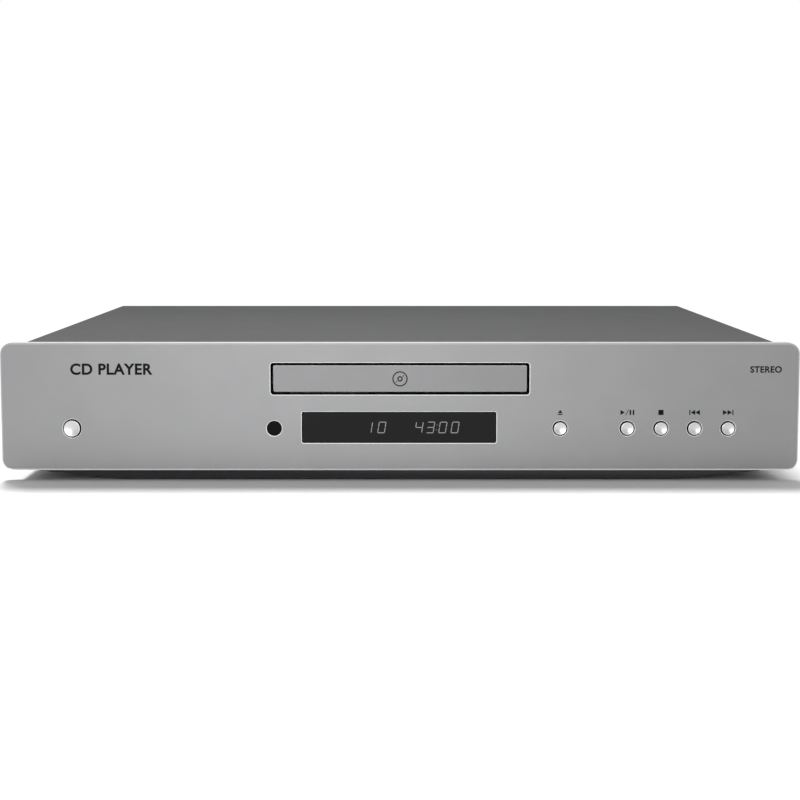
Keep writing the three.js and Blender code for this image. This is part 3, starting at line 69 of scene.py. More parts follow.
Point = Sequence[float]
BMesh = bmesh.types.BMesh
Vert = bmesh.types.BMVert
Edge = bmesh.types.BMEdge
Face = bmesh.types.BMFace
Socket = bpy.types.NodeSocket
Material = bpy.types.Material


# ------------------------------------------------------------------ finishes
class Pattern(Enum):
    """What the surface of a finish shows close up."""

    GRAIN = "grain"
    BRUSHED = "brushed"
    TURNED = "turned"
    TRACKS = "tracks"
    LAMINATED = "laminated"


@dataclass(frozen=True)
class Finish:
    """A finish with its colour, its sheen and the pattern of its surface.

    Attributes:
        name: what the maker calls it.
        colour: linear red, green and blue.
        metallic: 1 for bare metal, 0 for paint and plastic.
        roughness: middle roughness of the surface.
        variation: how much the colour and the roughness wander.
        pattern: the kind of surface pattern.
        cell: size of the pattern in metres.
        relief: height of the pattern in metres.
        specular: specular level of a surface that isn't metal.
        coat: weight of a clear coat.
        glow: strength of the light that the surface gives off.
    """

    name: str
    colour: tuple[float, float, float]
    metallic: float = 0.0
    roughness: float = 0.5
    variation: float = 0.06
    pattern: Pattern = Pattern.GRAIN
    cell: float = 0.0006
    relief: float = 0.00001
    specular: float = 0.5
    coat: float = 0.0
    glow: float = 0.0

    def material(self, centre: Point = (0, 0, 0)) -> Material:
        """The finish as a node material, made once for each centre of its pattern.

        Args:
            centre: the middle of turned rings, in metres.

        Returns:
            The material.
        """
        tag = "" if not any(centre) else "_" + "_".join(f"{part / MM:.0f}" for part in centre)
        found = bpy.data.materials.get(self.name + tag)
        if found is not None:
            return found
        made = bpy.data.materials.new(self.name + tag)
        made.use_nodes = True
        nodes = NodeBench(made, centre)
        shader = nodes.shader
        shader.inputs["Metallic"].default_value = self.metallic
        shader.inputs["Specular IOR Level"].default_value = self.specular
        shader.inputs["Coat Weight"].default_value = self.coat
        shader.inputs["Coat Roughness"].default_value = 0.08
        height = nodes.pattern(self)
        slow = nodes.noise(0.02, detail=3.0)
        tint = nodes.colour_ramp(slow, self.colour, self.variation)
        nodes.link(tint, shader.inputs["Base Color"])
        spread = max(self.variation, 0.02)
        rough = nodes.remap(height, self.roughness - spread, self.roughness + spread)
        nodes.link(rough, shader.inputs["Roughness"])
        nodes.link(nodes.bump(height, self.relief), shader.inputs["Normal"])
        if self.glow:
            shader.inputs["Emission Color"].default_value = (*self.colour, 1.0)
            shader.inputs["Emission Strength"].default_value = self.glow
        made.diffuse_color = (*self.colour, 1.0)
        return made


class NodeBench:
    """Lays out the nodes of one material."""

    def __init__(self, material: Material, centre: Point) -> None:
        """Starts from the material's own shader, and Object coordinates about a centre."""
        self.tree = material.node_tree
        self.shader = self.tree.nodes["Principled BSDF"]
        self.place = self.add("TexCoord").outputs["Object"]
        if any(centre):
            self.place = self.mapped("Location", [-part for part in centre])

    def add(self, kind: str, values: dict[str, object] | None = None) -> bpy.types.Node:
        """Adds a node.

        Args:
            kind: its type, without the ShaderNode in front.
            values: the value of each input that is set.

        Returns:
            The node.
        """
        node = self.tree.nodes.new("ShaderNode" + kind)
        for name, value in (values or {}).items():
            node.inputs[name].default_value = value
        return node

    def link(self, source: Socket, target: Socket) -> None:
        """Joins two sockets."""
        self.tree.links.new(source, target)

    def mapped(self, change: str, amount: Point) -> Socket:
        """Object coordinates after a change along each axis.

        Args:
            change: Location or Scale.
            amount: the change along X, Y and Z.

        Returns:
            The changed place.
        """
        mapping = self.add("Mapping", {change: amount})
        self.link(self.place, mapping.inputs["Vector"])
        return mapping.outputs["Vector"]

    def noise(self, cell: float, detail: float = 2.0, stretch: Point = (1, 1, 1)) -> Socket:
        """Cloudy noise.

        Args:
            cell: size of one cloud in metres.
            detail: octaves of finer noise.
            stretch: scale along each axis before the noise is read.

        Returns:
            The noise, from 0 to 1.
        """
        node = self.add("TexNoise", {"Scale": 1.0 / cell, "Detail": detail})
        self.link(self.mapped("Scale", stretch), node.inputs["Vector"])
        return node.outputs["Fac"]

    def pattern(self, finish: Finish) -> Socket:
        """The height of a finish's pattern.

        Args:
            finish: whose pattern it is.

        Returns:
            The height, from 0 to 1.
        """
        if finish.pattern is Pattern.BRUSHED:
            return self.noise(finish.cell, 3.0, (0.02, 1, 1))
        if finish.pattern is Pattern.TURNED:
            return self.wave(finish.cell, "RINGS", "Y")
        if finish.pattern is Pattern.LAMINATED:
            return self.wave(finish.cell, "BANDS", "Y")
        if finish.pattern is Pattern.TRACKS:
            return self.bricks(finish.cell)
        return self.noise(finish.cell)

    def wave(self, cell: float, kind: str, axis: str) -> Socket:
        """Parallel or round lines.

        Args:
            cell: distance between two lines in metres.
            kind: BANDS or RINGS.
            axis: the axis across the bands or through the rings.

        Returns:
            The height of the lines, from 0 to 1.
        """
        node = self.add("TexWave", {"Scale": 0.314 / cell, "Distortion": 0.4})
        node.wave_type = kind
        if kind == "BANDS":
            node.bands_direction = axis
        else:
            node.rings_direction = axis
        self.link(self.place, node.inputs["Vector"])
        return node.outputs["Fac"]

    def bricks(self, cell: float) -> Socket:
        """Copper tracks under the lacquer of a circuit board.

        Args:
            cell: length of one run in metres.

        Returns:
            1 on a track and 0 between tracks.
        """
        node = self.add("TexBrick", {"Scale": 1.0, "Brick Width": cell, "Row Height": cell * 0.3,
                                     "Mortar Size": cell * 0.05})
        self.link(self.place, node.inputs["Vector"])
        return node.outputs["Fac"]

    def colour_ramp(self, value: Socket, colour: Point, spread: float) -> Socket:
        """A colour that wanders a little with a value.

        Args:
            value: from 0 to 1.
            colour: the middle colour.
            spread: the share by which it wanders.

        Returns:
            The colour.
        """
        ramp = self.add("ValToRGB")
        ends = ramp.color_ramp.elements
        ends[0].position, ends[1].position = 0.3, 0.7
        ends[0].color = (*(part * (1 - spread) for part in colour), 1.0)
        ends[1].color = (*(min(part * (1 + spread), 1.0) for part in colour), 1.0)
        self.link(value, ramp.inputs["Fac"])
        return ramp.outputs["Color"]

    def remap(self, value: Socket, low: float, high: float) -> Socket:
        """A value spread between two limits.

        Args:
            value: from 0 to 1.
            low: the result at 0.
            high: the result at 1.

        Returns:
            The spread value.
        """
        node = self.add("MapRange", {"To Min": max(low, 0.02), "To Max": min(high, 1.0)})
        self.link(value, node.inputs["Value"])
        return node.outputs["Result"]

    def bump(self, height: Socket, relief: float) -> Socket:
        """A bumped normal.

        Args:
            height: from 0 to 1.
            relief: how high 1 stands, in metres.

        Returns:
            The normal.
        """
        node = self.add("Bump", {"Strength": 1.0, "Distance": relief})
        self.link(height, node.inputs["Height"])
        return node.outputs["Normal"]


ANODISED = Finish("anodised_silver", (0.222, 0.223, 0.226), metallic=0.88, roughness=0.46,
                  variation=0.02, cell=0.00025, relief=4e-6)
DOOR_SILVER = Finish("door_silver", (0.178, 0.178, 0.181), metallic=0.88, roughness=0.44,
                     variation=0.02, cell=0.00025, relief=4e-6)
CUT_EDGE = Finish("bright_cut_edge", (0.42, 0.42, 0.425), metallic=1.0, roughness=0.18,
                  variation=0.03, pattern=Pattern.BRUSHED, cell=0.0002, relief=2e-6)
# Painted highlight: a near-white, barely metallic finish that stands in for the bright catch light
# along the slab's lower edge and round its holes.
HIGHLIGHT_EDGE = Finish("painted_highlight_edge", (0.95, 0.95, 0.95), metallic=0.1, roughness=0.4, variation=0.02,
                   cell=0.0004, relief=2e-6)
POLISHED = Finish("polished_cap", (0.47, 0.47, 0.475), metallic=1.0, roughness=0.26, variation=0.03,
                  pattern=Pattern.TURNED, cell=0.00018, relief=2e-6)
COVER_PAINT = Finish("cover_paint", (0.038, 0.0384, 0.0388), roughness=0.75, variation=0.04,
                     cell=0.0007, relief=1.2e-5, specular=0.03)
PLINTH_PAINT = Finish("plinth_paint", (0.006, 0.006, 0.0062), variation=0.05, relief=8e-6,
                      specular=0.1)
PAD_RUBBER = Finish("pad_rubber", (0.02, 0.02, 0.02), roughness=0.85, variation=0.1, cell=0.0008,
                    relief=2e-5, specular=0.2)
ZINC = Finish("zinc_plate", (0.55, 0.56, 0.57), metallic=0.9, roughness=0.38, cell=0.004,
              relief=4e-6)
SMOKED = Finish("smoked_acrylic", (0.011, 0.0108, 0.0115), roughness=0.14, variation=0.02,
                cell=0.02, relief=1e-6, specular=0.07)
EYE_GLASS = Finish("eye_glass", (0.003, 0.0025, 0.003), roughness=0.08, variation=0.02, cell=0.02,
                   relief=1e-6, specular=0.06)
DIGIT_GLOW = Finish("display_digit", (0.24, 0.25, 0.255), variation=0.03, specular=0.1, glow=0.3)
INK_BLACK = Finish("printed_ink", (0.005, 0.005, 0.005), roughness=0.6, variation=0.05, cell=0.0003,
                   relief=2e-6, specular=0.06)
INK_WHITE = Finish("printed_white", (0.75, 0.75, 0.74), roughness=0.6, variation=0.03, cell=0.0003,
                   relief=2e-6, specular=0.2)
BLACK_MOULD = Finish("black_moulding", (0.02, 0.02, 0.022), roughness=0.55, cell=0.0005,
                     relief=1.2e-5, specular=0.4)
WHITE_ACETAL = Finish("white_acetal", (0.72, 0.7, 0.64), roughness=0.4, variation=0.03, cell=0.001,
                      relief=4e-6)
LACQUER = Finish("board_lacquer", (0.02, 0.13, 0.05), roughness=0.35, variation=0.12,
                 pattern=Pattern.TRACKS, cell=0.006, relief=3e-5)
CASTING = Finish("sled_casting", (0.5, 0.5, 0.52), metallic=0.9, roughness=0.45, cell=0.0012,
                 relief=1.5e-5)
LAMINATION = Finish("core_lamination", (0.16, 0.15, 0.14), metallic=0.6, variation=0.12,
                    pattern=Pattern.LAMINATED, cell=0.0005, relief=5e-5)
RIBBON = Finish("ribbon_film", (0.55, 0.57, 0.6), roughness=0.4, variation=0.05,
                pattern=Pattern.BRUSHED, cell=0.0008)
GOLD = Finish("gold_plate", (0.83, 0.6, 0.25), metallic=1.0, roughness=0.22, variation=0.04,
              pattern=Pattern.TURNED, cell=0.0003, relief=2e-6)
NICKEL = Finish("nickel_plate", (0.62, 0.6, 0.56), metallic=1.0, roughness=0.25, variation=0.04,
                pattern=Pattern.TURNED, cell=0.0003, relief=2e-6)
INSULATOR_RED = Finish("insulator_red", (0.5, 0.02, 0.02), roughness=0.4, variation=0.04,
                       relief=4e-6)
INSULATOR_WHITE = Finish("insulator_white", (0.75, 0.74, 0.7), roughness=0.4, variation=0.03,
                         relief=4e-6)
INSULATOR_ORANGE = Finish("insulator_orange", (0.75, 0.2, 0.02), roughness=0.4, variation=0.04,
                          relief=4e-6)
SCREW_BLACK = Finish("black_screw", (0.03, 0.03, 0.032), metallic=0.7, roughness=0.35, relief=6e-6)
LENS_GLASS = Finish("lens_glass", (0.05, 0.08, 0.16), roughness=0.05, variation=0.02, cell=0.01,
                    relief=1e-6, coat=1.0)
FLOOR_PAPER = Finish("floor_paper", (0.46, 0.46, 0.46), roughness=0.9, variation=0.01, cell=0.003,
                     specular=0.1)


# ------------------------------------------------------------------ modelling helpers
def turned(degrees: float, axis: str) -> Matrix:
    """A turn about an axis."""
    return Matrix.Rotation(math.radians(degrees), 4, axis)


FACING_FRONT = turned(90, "X")
FACING_REAR = turned(-90, "X")


def box_of(node: str) -> tuple[Vector, Vector]:
    """Lowest and highest corner of a CAD node, as vectors."""
    low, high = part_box(node)
    return Vector(low), Vector(high)


def centre_of(node: str) -> Vector:
    """Middle of a CAD node's box."""
    low, high = box_of(node)
    return (low + high) / 2


def shifted(*place: float) -> Matrix:
    """A move to a place."""
    return Matrix.Translation(Vector(place))


def edges_of(verts: Iterable[Vert]) -> list[Edge]:
    """Every edge that joins some of these vertices, each of them once."""
    return list(dict.fromkeys(edge for vert in verts for edge in vert.link_edges))


def faces_of(verts: Iterable[Vert]) -> list[Face]:
    """Every face that uses some of these vertices, each of them once."""
    return list(dict.fromkeys(face for vert in verts for face in vert.link_faces))


def made_verts(made: dict[str, list]) -> list[Vert]:
    """The vertices among what an operator made."""
    return [item for item in made["geom"] if isinstance(item, Vert)]


def soften(bm: BMesh, geom: list, radius: float, steps: int = 2, affect: str = "EDGES",
           clamp: bool = False) -> None:
    """Rounds edges or corners.

    Args:
        bm: the mesh.
        geom: the edges or the vertices to round.
        radius: how far the rounding reaches.
        steps: segments across it.
        affect: EDGES or VERTICES.
        clamp: whether it stops where two roundings meet.
    """
    bmesh.ops.bevel(bm, geom=geom, offset=radius, segments=steps, profile=0.5, affect=affect,
                    material=-1, clamp_overlap=clamp)


def draw_out(bm: BMesh, outline: Iterable[Point], move: Point) -> list[Vert]:
    """Makes a face of an outline and draws it out to a solid.

    Args:
        bm: the mesh to add to.
        outline: the corners of the face, in order.
        move: from the face to the far end.

    Returns:
        The new vertices.
    """
    verts = [bm.verts.new(point) for point in outline]
    moved = made_verts(bmesh.ops.extrude_face_region(bm, geom=[bm.faces.new(verts)]))
    bmesh.ops.translate(bm, vec=move, verts=moved)
    return verts + moved


def settled_mesh(made: bpy.types.Object) -> bpy.types.Mesh:
    """The mesh of an object after its modifiers or its text are worked out."""
    graph = bpy.context.evaluated_depsgraph_get()
    return bpy.data.meshes.new_from_object(made.evaluated_get(graph))


def shown(name: str, data: bpy.types.ID) -> bpy.types.Object:
    """Puts a mesh, a text, a lamp or a camera in the scene as an object."""
    made = bpy.data.objects.new(name, data)
    bpy.context.scene.collection.objects.link(made)
    return made


def round_loop(bm: BMesh, radius: float, place: Matrix, steps: int = 64) -> list[Edge]:
    """A circle of edges.

    Args:
        bm: the mesh to add to.
        radius: the circle's radius.
        place: turns and moves the circle, which starts flat about Z.
        steps: how many edges it has.

    Returns:
        The edges.
    """
    made = bmesh.ops.create_circle(bm, cap_ends=False, radius=radius, segments=steps, matrix=place)
    return edges_of(made["verts"])


def corner_loop(bm: BMesh, width: float, height: float, radius: float, place: Matrix,
                steps: int = 8) -> list[Edge]:
    """A rectangle of edges with round corners.

    Args:
        bm: the mesh to add to.
        width: the size along X before it is placed.
        height: the size along Y before it is placed.
        radius: the corner radius.
        place: turns and moves the rectangle.
        steps: edges in each corner.

    Returns:
        The edges.
    """
    made = bmesh.ops.create_grid(bm, x_segments=1, y_segments=1, size=0.5)
    verts = made["verts"]
    bmesh.ops.scale(bm, vec=(width, height, 1), verts=verts)
    before = set(bm.verts) - set(verts)
    soften(bm, verts, radius, steps, "VERTICES")
    rounded = [vert for vert in bm.verts if vert not in before]
    bmesh.ops.delete(bm, geom=faces_of(rounded), context="FACES_ONLY")
    bmesh.ops.transform(bm, matrix=place, verts=rounded)
    return edges_of(rounded)


def plate(bm: BMesh, loops: Sequence[list[Edge]], thickness: Vector,
          chamfer: float = 0.0) -> list[Face]:
    """Fills an outline with its holes and gives it a thickness and a chamfer round its face.

    Args:
        bm: the mesh that holds the loops.
        loops: the outline and its holes, all in the plane of the face.
        thickness: from the face to the back.
        chamfer: width of the 45 degree edge round the face and its holes.

    Returns:
        The faces of the chamfer.
    """
    edges = [edge for loop in loops for edge in loop]
    inward = thickness.normalized()
    filled = bmesh.ops.triangle_fill(bm, use_beauty=True, use_dissolve=False, edges=edges,
                                     normal=-inward)
    faces = [item for item in filled["geom"] if isinstance(item, Face)]
    rim: list[Face] = []
    if chamfer:
        made = bmesh.ops.inset_region(bm, faces=faces, thickness=chamfer, use_boundary=True,
                                      use_even_offset=True)
        rim = made["faces"]
    corners = dict.fromkeys(vert for face in faces + rim for vert in face.verts)
    border = [edge for edge in edges_of(corners) if edge.is_boundary]
    border_verts = list(dict.fromkeys(vert for edge in border for vert in edge.verts))
    bmesh.ops.translate(bm, vec=inward * chamfer, verts=border_verts)
    made = bmesh.ops.extrude_edge_only(bm, edges=border)
    back_edges = [item for item in made["geom"] if isinstance(item, Edge)]
    bmesh.ops.translate(bm, vec=thickness - inward * chamfer, verts=made_verts(made))
    bmesh.ops.triangle_fill(bm, use_beauty=True, use_dissolve=False, edges=back_edges,
                            normal=inward)
    return rim


def brick(bm: BMesh, low: Point, high: Point, bevel: float = 0.0, steps: int = 2) -> list[Vert]:
    """A block between two corners with rounded edges.

    Args:
        bm: the mesh to add to.
        low: the lowest corner.
        high: the highest corner.
        bevel: radius of its edges.
        steps: segments in each edge.

    Returns:
        The block's vertices.
    """
    low, high = Vector(low), Vector(high)
    others = set(bm.verts)
    place = Matrix.Translation((low + high) / 2) @ Matrix.Diagonal((*(high - low), 1.0))
    verts = bmesh.ops.create_cube(bm, size=1.0, matrix=place)["verts"]
    if bevel:
        soften(bm, edges_of(verts), bevel, steps)
    return [vert for vert in bm.verts if vert not in others]


def turn(bm: BMesh, profile: Sequence[Point], place: Matrix, steps: int = 64) -> list[Vert]:
    """Spins a profile of (radius, height) into a turned piece.

    Args:
        bm: the mesh to add to.
        profile: the points from one end of the axis to the other, or a closed ring off the axis.
        place: turns and moves the piece, whose axis starts along Z.
        steps: how many stations the spin has.

    Returns:
        The new vertices.
    """
    others = set(bm.verts)
    verts = [bm.verts.new((radius, 0.0, height)) for radius, height in profile]
    edges = [bm.edges.new(pair) for pair in zip(verts, verts[1:])]
    if profile[0][0] and profile[-1][0]:
        edges.append(bm.edges.new((verts[-1], verts[0])))
    bmesh.ops.spin(bm, geom=verts + edges, cent=(0, 0, 0), axis=(0, 0, 1), angle=math.tau,
                   steps=steps, use_merge=True)
    new = [vert for vert in bm.verts if vert not in others]
    bmesh.ops.remove_doubles(bm, verts=new, dist=1e-7)
    new = [vert for vert in bm.verts if vert not in others]
    bmesh.ops.transform(bm, matrix=place, verts=new)
    return new


def paint(faces: Iterable[Face], index: int) -> None:
    """Gives faces the finish at an index."""
    for face in faces:
        face.material_index = index


@dataclass
class Piece:
    """One visible piece: its mesh in the making, its finishes and what it stands for.

    Attributes:
        name: the piece's name.
        finishes: its materials in order.
        body: the CAD body that it moves with.
        stands_for: the CAD nodes that it replaces.
        crease: edges sharper than this angle, in degrees, stay sharp.
        bm: its mesh.
    """

    name: str
    finishes: Sequence[Material]
    body: str = CHASSIS
    stands_for: Sequence[str] = ()
    crease: float = 32.0
    bm: BMesh = field(default_factory=bmesh.new)

    def __enter__(self) -> "Piece":
        """Opens the piece for modelling."""
        return self

    def __exit__(self, *problem: object) -> None:
        """Finishes the piece when its block ends without an error."""
        if problem[0] is None:
            self.done()

    def done(self) -> bpy.types.Object:
        """Closes the mesh, shades it and hangs it on its body.

        Returns:
            The finished object.
        """
        bmesh.ops.recalc_face_normals(self.bm, faces=self.bm.faces)
        mesh = bpy.data.meshes.new(self.name)
        self.bm.to_mesh(mesh)
        self.bm.free()
        for finish in self.finishes:
            mesh.materials.append(finish)
        mesh.shade_smooth()
        mesh.set_sharp_from_angle(angle=math.radians(self.crease))
        piece = shown(self.name, mesh)
        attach(piece, self.body)
        if self.stands_for:
            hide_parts(*self.stands_for)
        LOG.info("%s: %d faces on %s", self.name, len(mesh.polygons), self.body)
        return piece


SLOTS: dict[str, str] = {part["node"]: part["material_slot"]
                         for part in frame["record"]["subparts"]}


def lettering(name: str, words: str, size: float, place: Matrix, ink: Material, body: str = CHASSIS,
              weight: float = 0.0) -> bpy.types.Object:
    """Flat printed words.

    Args:
        name: the piece's name.
        words: what is printed.
        size: height of a line in metres.
        place: turns and moves the words, which start flat and read along X.
        ink: the finish.
        body: the CAD body that the words move with.
        weight: how much bolder than the plain letters they are.

    Returns:
        The finished object.
    """
    curve = bpy.data.curves.new(name, "FONT")
    curve.body = words
    curve.size = size
    curve.offset = weight
    curve.space_character = 1.06
    curve.align_x = "CENTER"
    curve.align_y = "CENTER"
    curve.extrude = PRINT_DEPTH / 2
    shaped = shown(name, curve)
    mesh = settled_mesh(shaped)
    bpy.data.objects.remove(shaped)
    mesh.transform(place)
    mesh.materials.clear()
    mesh.materials.append(ink)
    piece = shown(name, mesh)
    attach(piece, body)
    return piece


# ------------------------------------------------------------------ front of the machine
@dataclass
class FrontPanel:
    """Thick silver slab with bright edges, its slot, window, eye and button wells."""

    chamfer: float = 0.8 * MM
    hole_chamfer: float = 0.32 * MM
    corner: float = 6.0 * MM
    slot_size: tuple[float, float] = (139.5 * MM, 17.3 * MM)
    slot_corner: float = 1.5 * MM
    window_gap: float = 0.3 * MM
    window_corner: float = 1.0 * MM
    well: float = 0.65 * MM
    eye_gap: float = 0.25 * MM
    mark_drop: float = 14.4 * MM
    mark_weight: float = 0.03

    def build(self) -> None:
        """Models the slab and its printed marks."""
        low, high = box_of("front_panel")
        middle = (low + high) / 2
        front = low.y
        slot = centre_of("tray_door")
        face = shifted(0, front, 0) @ FACING_FRONT
        finishes = [ANODISED.material(), CUT_EDGE.material(), HIGHLIGHT_EDGE.material()]
        with Piece("front_slab", finishes, stands_for=["front_panel"]) as piece:
            bm = piece.bm
            outline = corner_loop(bm, high.x - low.x, high.z - low.z, self.corner,
                                  shifted(middle.x, front, middle.z) @ FACING_FRONT, 14)
            rim = plate(bm, [outline, *self.holes(bm, face, slot)],
                        Vector((0, high.y - front, 0)), self.hole_chamfer)
            paint(rim, 1)
            self.widen_outer_edge(rim, low, high)
            # The lower edge and the hole rims take the near-white finish, which is a painted
            # highlight.
            paint([edge for edge in rim if self.takes_painted_highlight(edge, low, high)], 2)
        self.print_marks(front)

    def takes_painted_highlight(self, edge: Face, low: Vector, high: Vector) -> bool:
        """Tells whether a chamfer face gets the painted highlight of the holes' rims and of the
        lower edge.

        Args:
            edge: the face.
            low: the lowest corner of the slab.
            high: its highest corner.

        Returns:
            True for the lower edge and the rims of the holes.
        """
        middle = edge.calc_center_median()
        in_hole = min(middle.x - low.x, high.x - middle.x) > self.corner and high.z - middle.z > MM
        return in_hole or middle.z - low.z < MM

    def widen_outer_edge(self, rim: Iterable[Face], low: Vector, high: Vector) -> None:
        """Widens the bright edge round the slab, and leaves the edges of the holes fine.

        Args:
            rim: the faces of every chamfer.
            low: the lowest corner of the slab.
            high: its highest corner.
        """
        extra = self.chamfer - self.hole_chamfer
        pairs: dict[Vert, Vert] = {}
        for edge in dict.fromkeys(edge for face in rim for edge in face.edges):
            first, second = sorted(edge.verts, key=lambda vert: vert.co.y)
            if second.co.y - first.co.y > self.hole_chamfer / 2:
                pairs[first] = second
        near = self.corner + 0.01 * MM
        for face_vert, side_vert in pairs.items():
            place = side_vert.co
            by_end = min(place.x - low.x, high.x - place.x) < near
            by_edge = min(place.z - low.z, high.z - place.z) < MM
            if by_end or by_edge:
                inward = face_vert.co - place
                inward.y = 0
                face_vert.co += inward.normalized() * extra
                place.y += extra

    def holes(self, bm: BMesh, face: Matrix, slot: Vector) -> list[list[Edge]]:
        """Loops of the slot, the window, the eye and the wells.

        Args:
            bm: the slab's mesh.
            face: the plane of the slab's face.
            slot: the middle of the drawer slot.

        Returns:
            One list of edges for each hole.
        """
        window_low, window_high = window_plug()
        window = (window_low + window_high) / 2
        eye = centre_of("ir_window")
        loops = [corner_loop(bm, *self.slot_size, self.slot_corner,
                             face @ shifted(slot.x, slot.z, 0)),
                 corner_loop(bm, window_high.x - window_low.x + 2 * self.window_gap,
                             window_high.z - window_low.z + 2 * self.window_gap,
                             self.window_corner, face @ shifted(window.x, window.z, 0)),
                 round_loop(bm, EYE_RADIUS + self.eye_gap, face @ shifted(eye.x, eye.z, 0))]
        for node in BUTTON_NODES:
            place = centre_of(node)
            loops.append(round_loop(bm, cap_radius(node) + self.well,
                                    face @ shifted(place.x, place.z, 0)))
        return loops

    def print_marks(self, front: float) -> None:
        """Prints the generic lettering and the transport signs.

        Args:
            front: the plane of the slab's face.
        """
        ink = INK_BLACK.material()
        low, high = box_of("front_panel")
        self.print_signs(front, ink)
        for name, words, size, x in (("mark_left", "CD PLAYER", 8.2 * MM, low.x + 59.5 * MM),
                                     ("mark_right", "STEREO", 4.7 * MM, high.x - 18.2 * MM)):
            lettering(name, words, size, shifted(x, front, high.z - self.mark_drop) @ FACING_FRONT,
                      ink, weight=size * self.mark_weight)

    def print_signs(self, front: float, ink: Material) -> None:
        """Prints the transport signs above their buttons.

        Args:
            front: the plane of the slab's face.
            ink: the finish of the signs.
        """
        for node, strokes in SIGNS.items():
            place = centre_of(node)
            with Piece(node.replace("button", "sign"), [ink]) as piece:
                for stroke in strokes:
                    outline = [(place.x + x * MM, front - PRINT_DEPTH / 2,
                                place.z + SIGN_RISE + z * MM) for x, z in stroke]
                    draw_out(piece.bm, outline, (0, PRINT_DEPTH, 0))


def triangle(left: float, right: float, half: float) -> list[Point]:
    """A triangle that points from its upright side at `left` to its tip at `right`."""
    return [(left, -half), (right, 0.0), (left, half)]


def bar(left: float, right: float, half: float, lean: float = 0.0) -> list[Point]:
    """An upright bar, leaning to the right by `lean` at its top."""
    return [(left - lean, -half), (right - lean, -half), (right + lean, half), (left + lean, half)]


SIGNS: dict[str, list[list[Point]]] = {
    "eject_button": [[(-1.25, -0.35), (1.25, -0.35), (0.0, 1.4)],
                     [(-1.25, -1.35), (1.25, -1.35), (1.25, -0.75), (-1.25, -0.75)]],
    "play_button": [triangle(-3.7, -1.4, 1.35), bar(-0.34, 0.06, 1.5, 0.85),
                    bar(1.2, 2.05, 1.35), bar(2.85, 3.7, 1.35)],
    "stop_button": [bar(-1.4, 1.4, 1.4)],
    "previous_button": [bar(-2.85, -2.25, 1.4), triangle(0.35, -2.05, 1.4),
                        triangle(2.85, 0.45, 1.4)],
    "next_button": [bar(2.25, 2.85, 1.4), triangle(-0.35, 2.05, 1.4),
                    triangle(-2.85, -0.45, 1.4)],
}


def cap_radius(node: str) -> float:
    """Radius of a button's cap: its flange is wider than the cap by the well and the grip."""
    low, high = box_of(node)
    return (high.x - low.x) / 2 - CAP_TO_FLANGE


def window_plug() -> tuple[Vector, Vector]:
    """Corners of the display window where it fills its hole, without the flange behind."""
    low, high = box_of("display_window")
    flange = Vector((3.3, 0, 3.3)) * MM
    return low + flange, high - flange


@dataclass
class PushButtons:
    """Six turned metal caps with a raised rim round a shallow dish, on plastic stems."""

    rim_width: float = 0.5 * MM
    rim_round: float = 0.22 * MM
    dish: float = 0.42 * MM
    cap_depth: float = 5.5 * MM
    stem_start: float = 5.7 * MM
    stem_inset: float = 0.3 * MM
    flange_back: float = 9.3 * MM
    pin_wide: float = 2 * MM
    pin_narrow: float = 0.9 * MM
    steps: int = 48

    def build(self) -> None:
        """Models each button on its own body."""
        for node in BUTTON_NODES:
            self.build_one(node)

    def build_one(self, node: str) -> None:
        """Models one button.

        Args:
            node: the CAD node that it replaces.
        """
        low, high = box_of(node)
        middle = (low + high) / 2
        radius = cap_radius(node)
        depth = high.y - low.y
        place = shifted(middle.x, low.y, middle.z) @ FACING_REAR
        finishes = [POLISHED.material((middle.x, 0, middle.z)), BLACK_MOULD.material()]
        with Piece(node.replace("button", "cap"), finishes, node.split("_")[0], [node]) as piece:
            cap = turn(piece.bm, [*self.face_profile(radius), (radius, self.cap_depth),
                                  (0, self.cap_depth)], place, self.steps)
            flange, back = radius + CAP_TO_FLANGE, self.flange_back
            inset = radius - self.stem_inset
            wide, narrow = self.pin_wide, self.pin_narrow
            stem = turn(piece.bm, [(0, self.stem_start), (inset, self.stem_start),
                                   (inset, back - MM), (flange, back - MM), (flange, back),
                                   (wide, back), (wide, depth - 2.4 * MM),
                                   (narrow, depth - 2.3 * MM), (narrow, depth), (0, depth)],
                        place, self.steps)
            paint(faces_of(cap), 0)
            paint(faces_of(stem), 1)

    def face_profile(self, radius: float) -> list[Point]:
        """Dish, rim and rounded edge of a cap, from its middle outwards.

        Args:
            radius: radius of the cap.

        Returns:
            Points of (radius, distance behind the proudest point).
        """
        inner = radius - self.rim_width
        dish = [(inner * share, self.dish * (1 - share * share))
                for share in (0.0, 0.2, 0.4, 0.6, 0.8, 0.95)]
        round_off = [(radius - self.rim_round * (1 - math.sin(math.radians(turn_by))),
                      self.rim_round * (1 - math.cos(math.radians(turn_by))))
                     for turn_by in (0, 30, 60, 90)]
        return [*dish, (inner + 0.1 * MM, 0.0), *round_off]


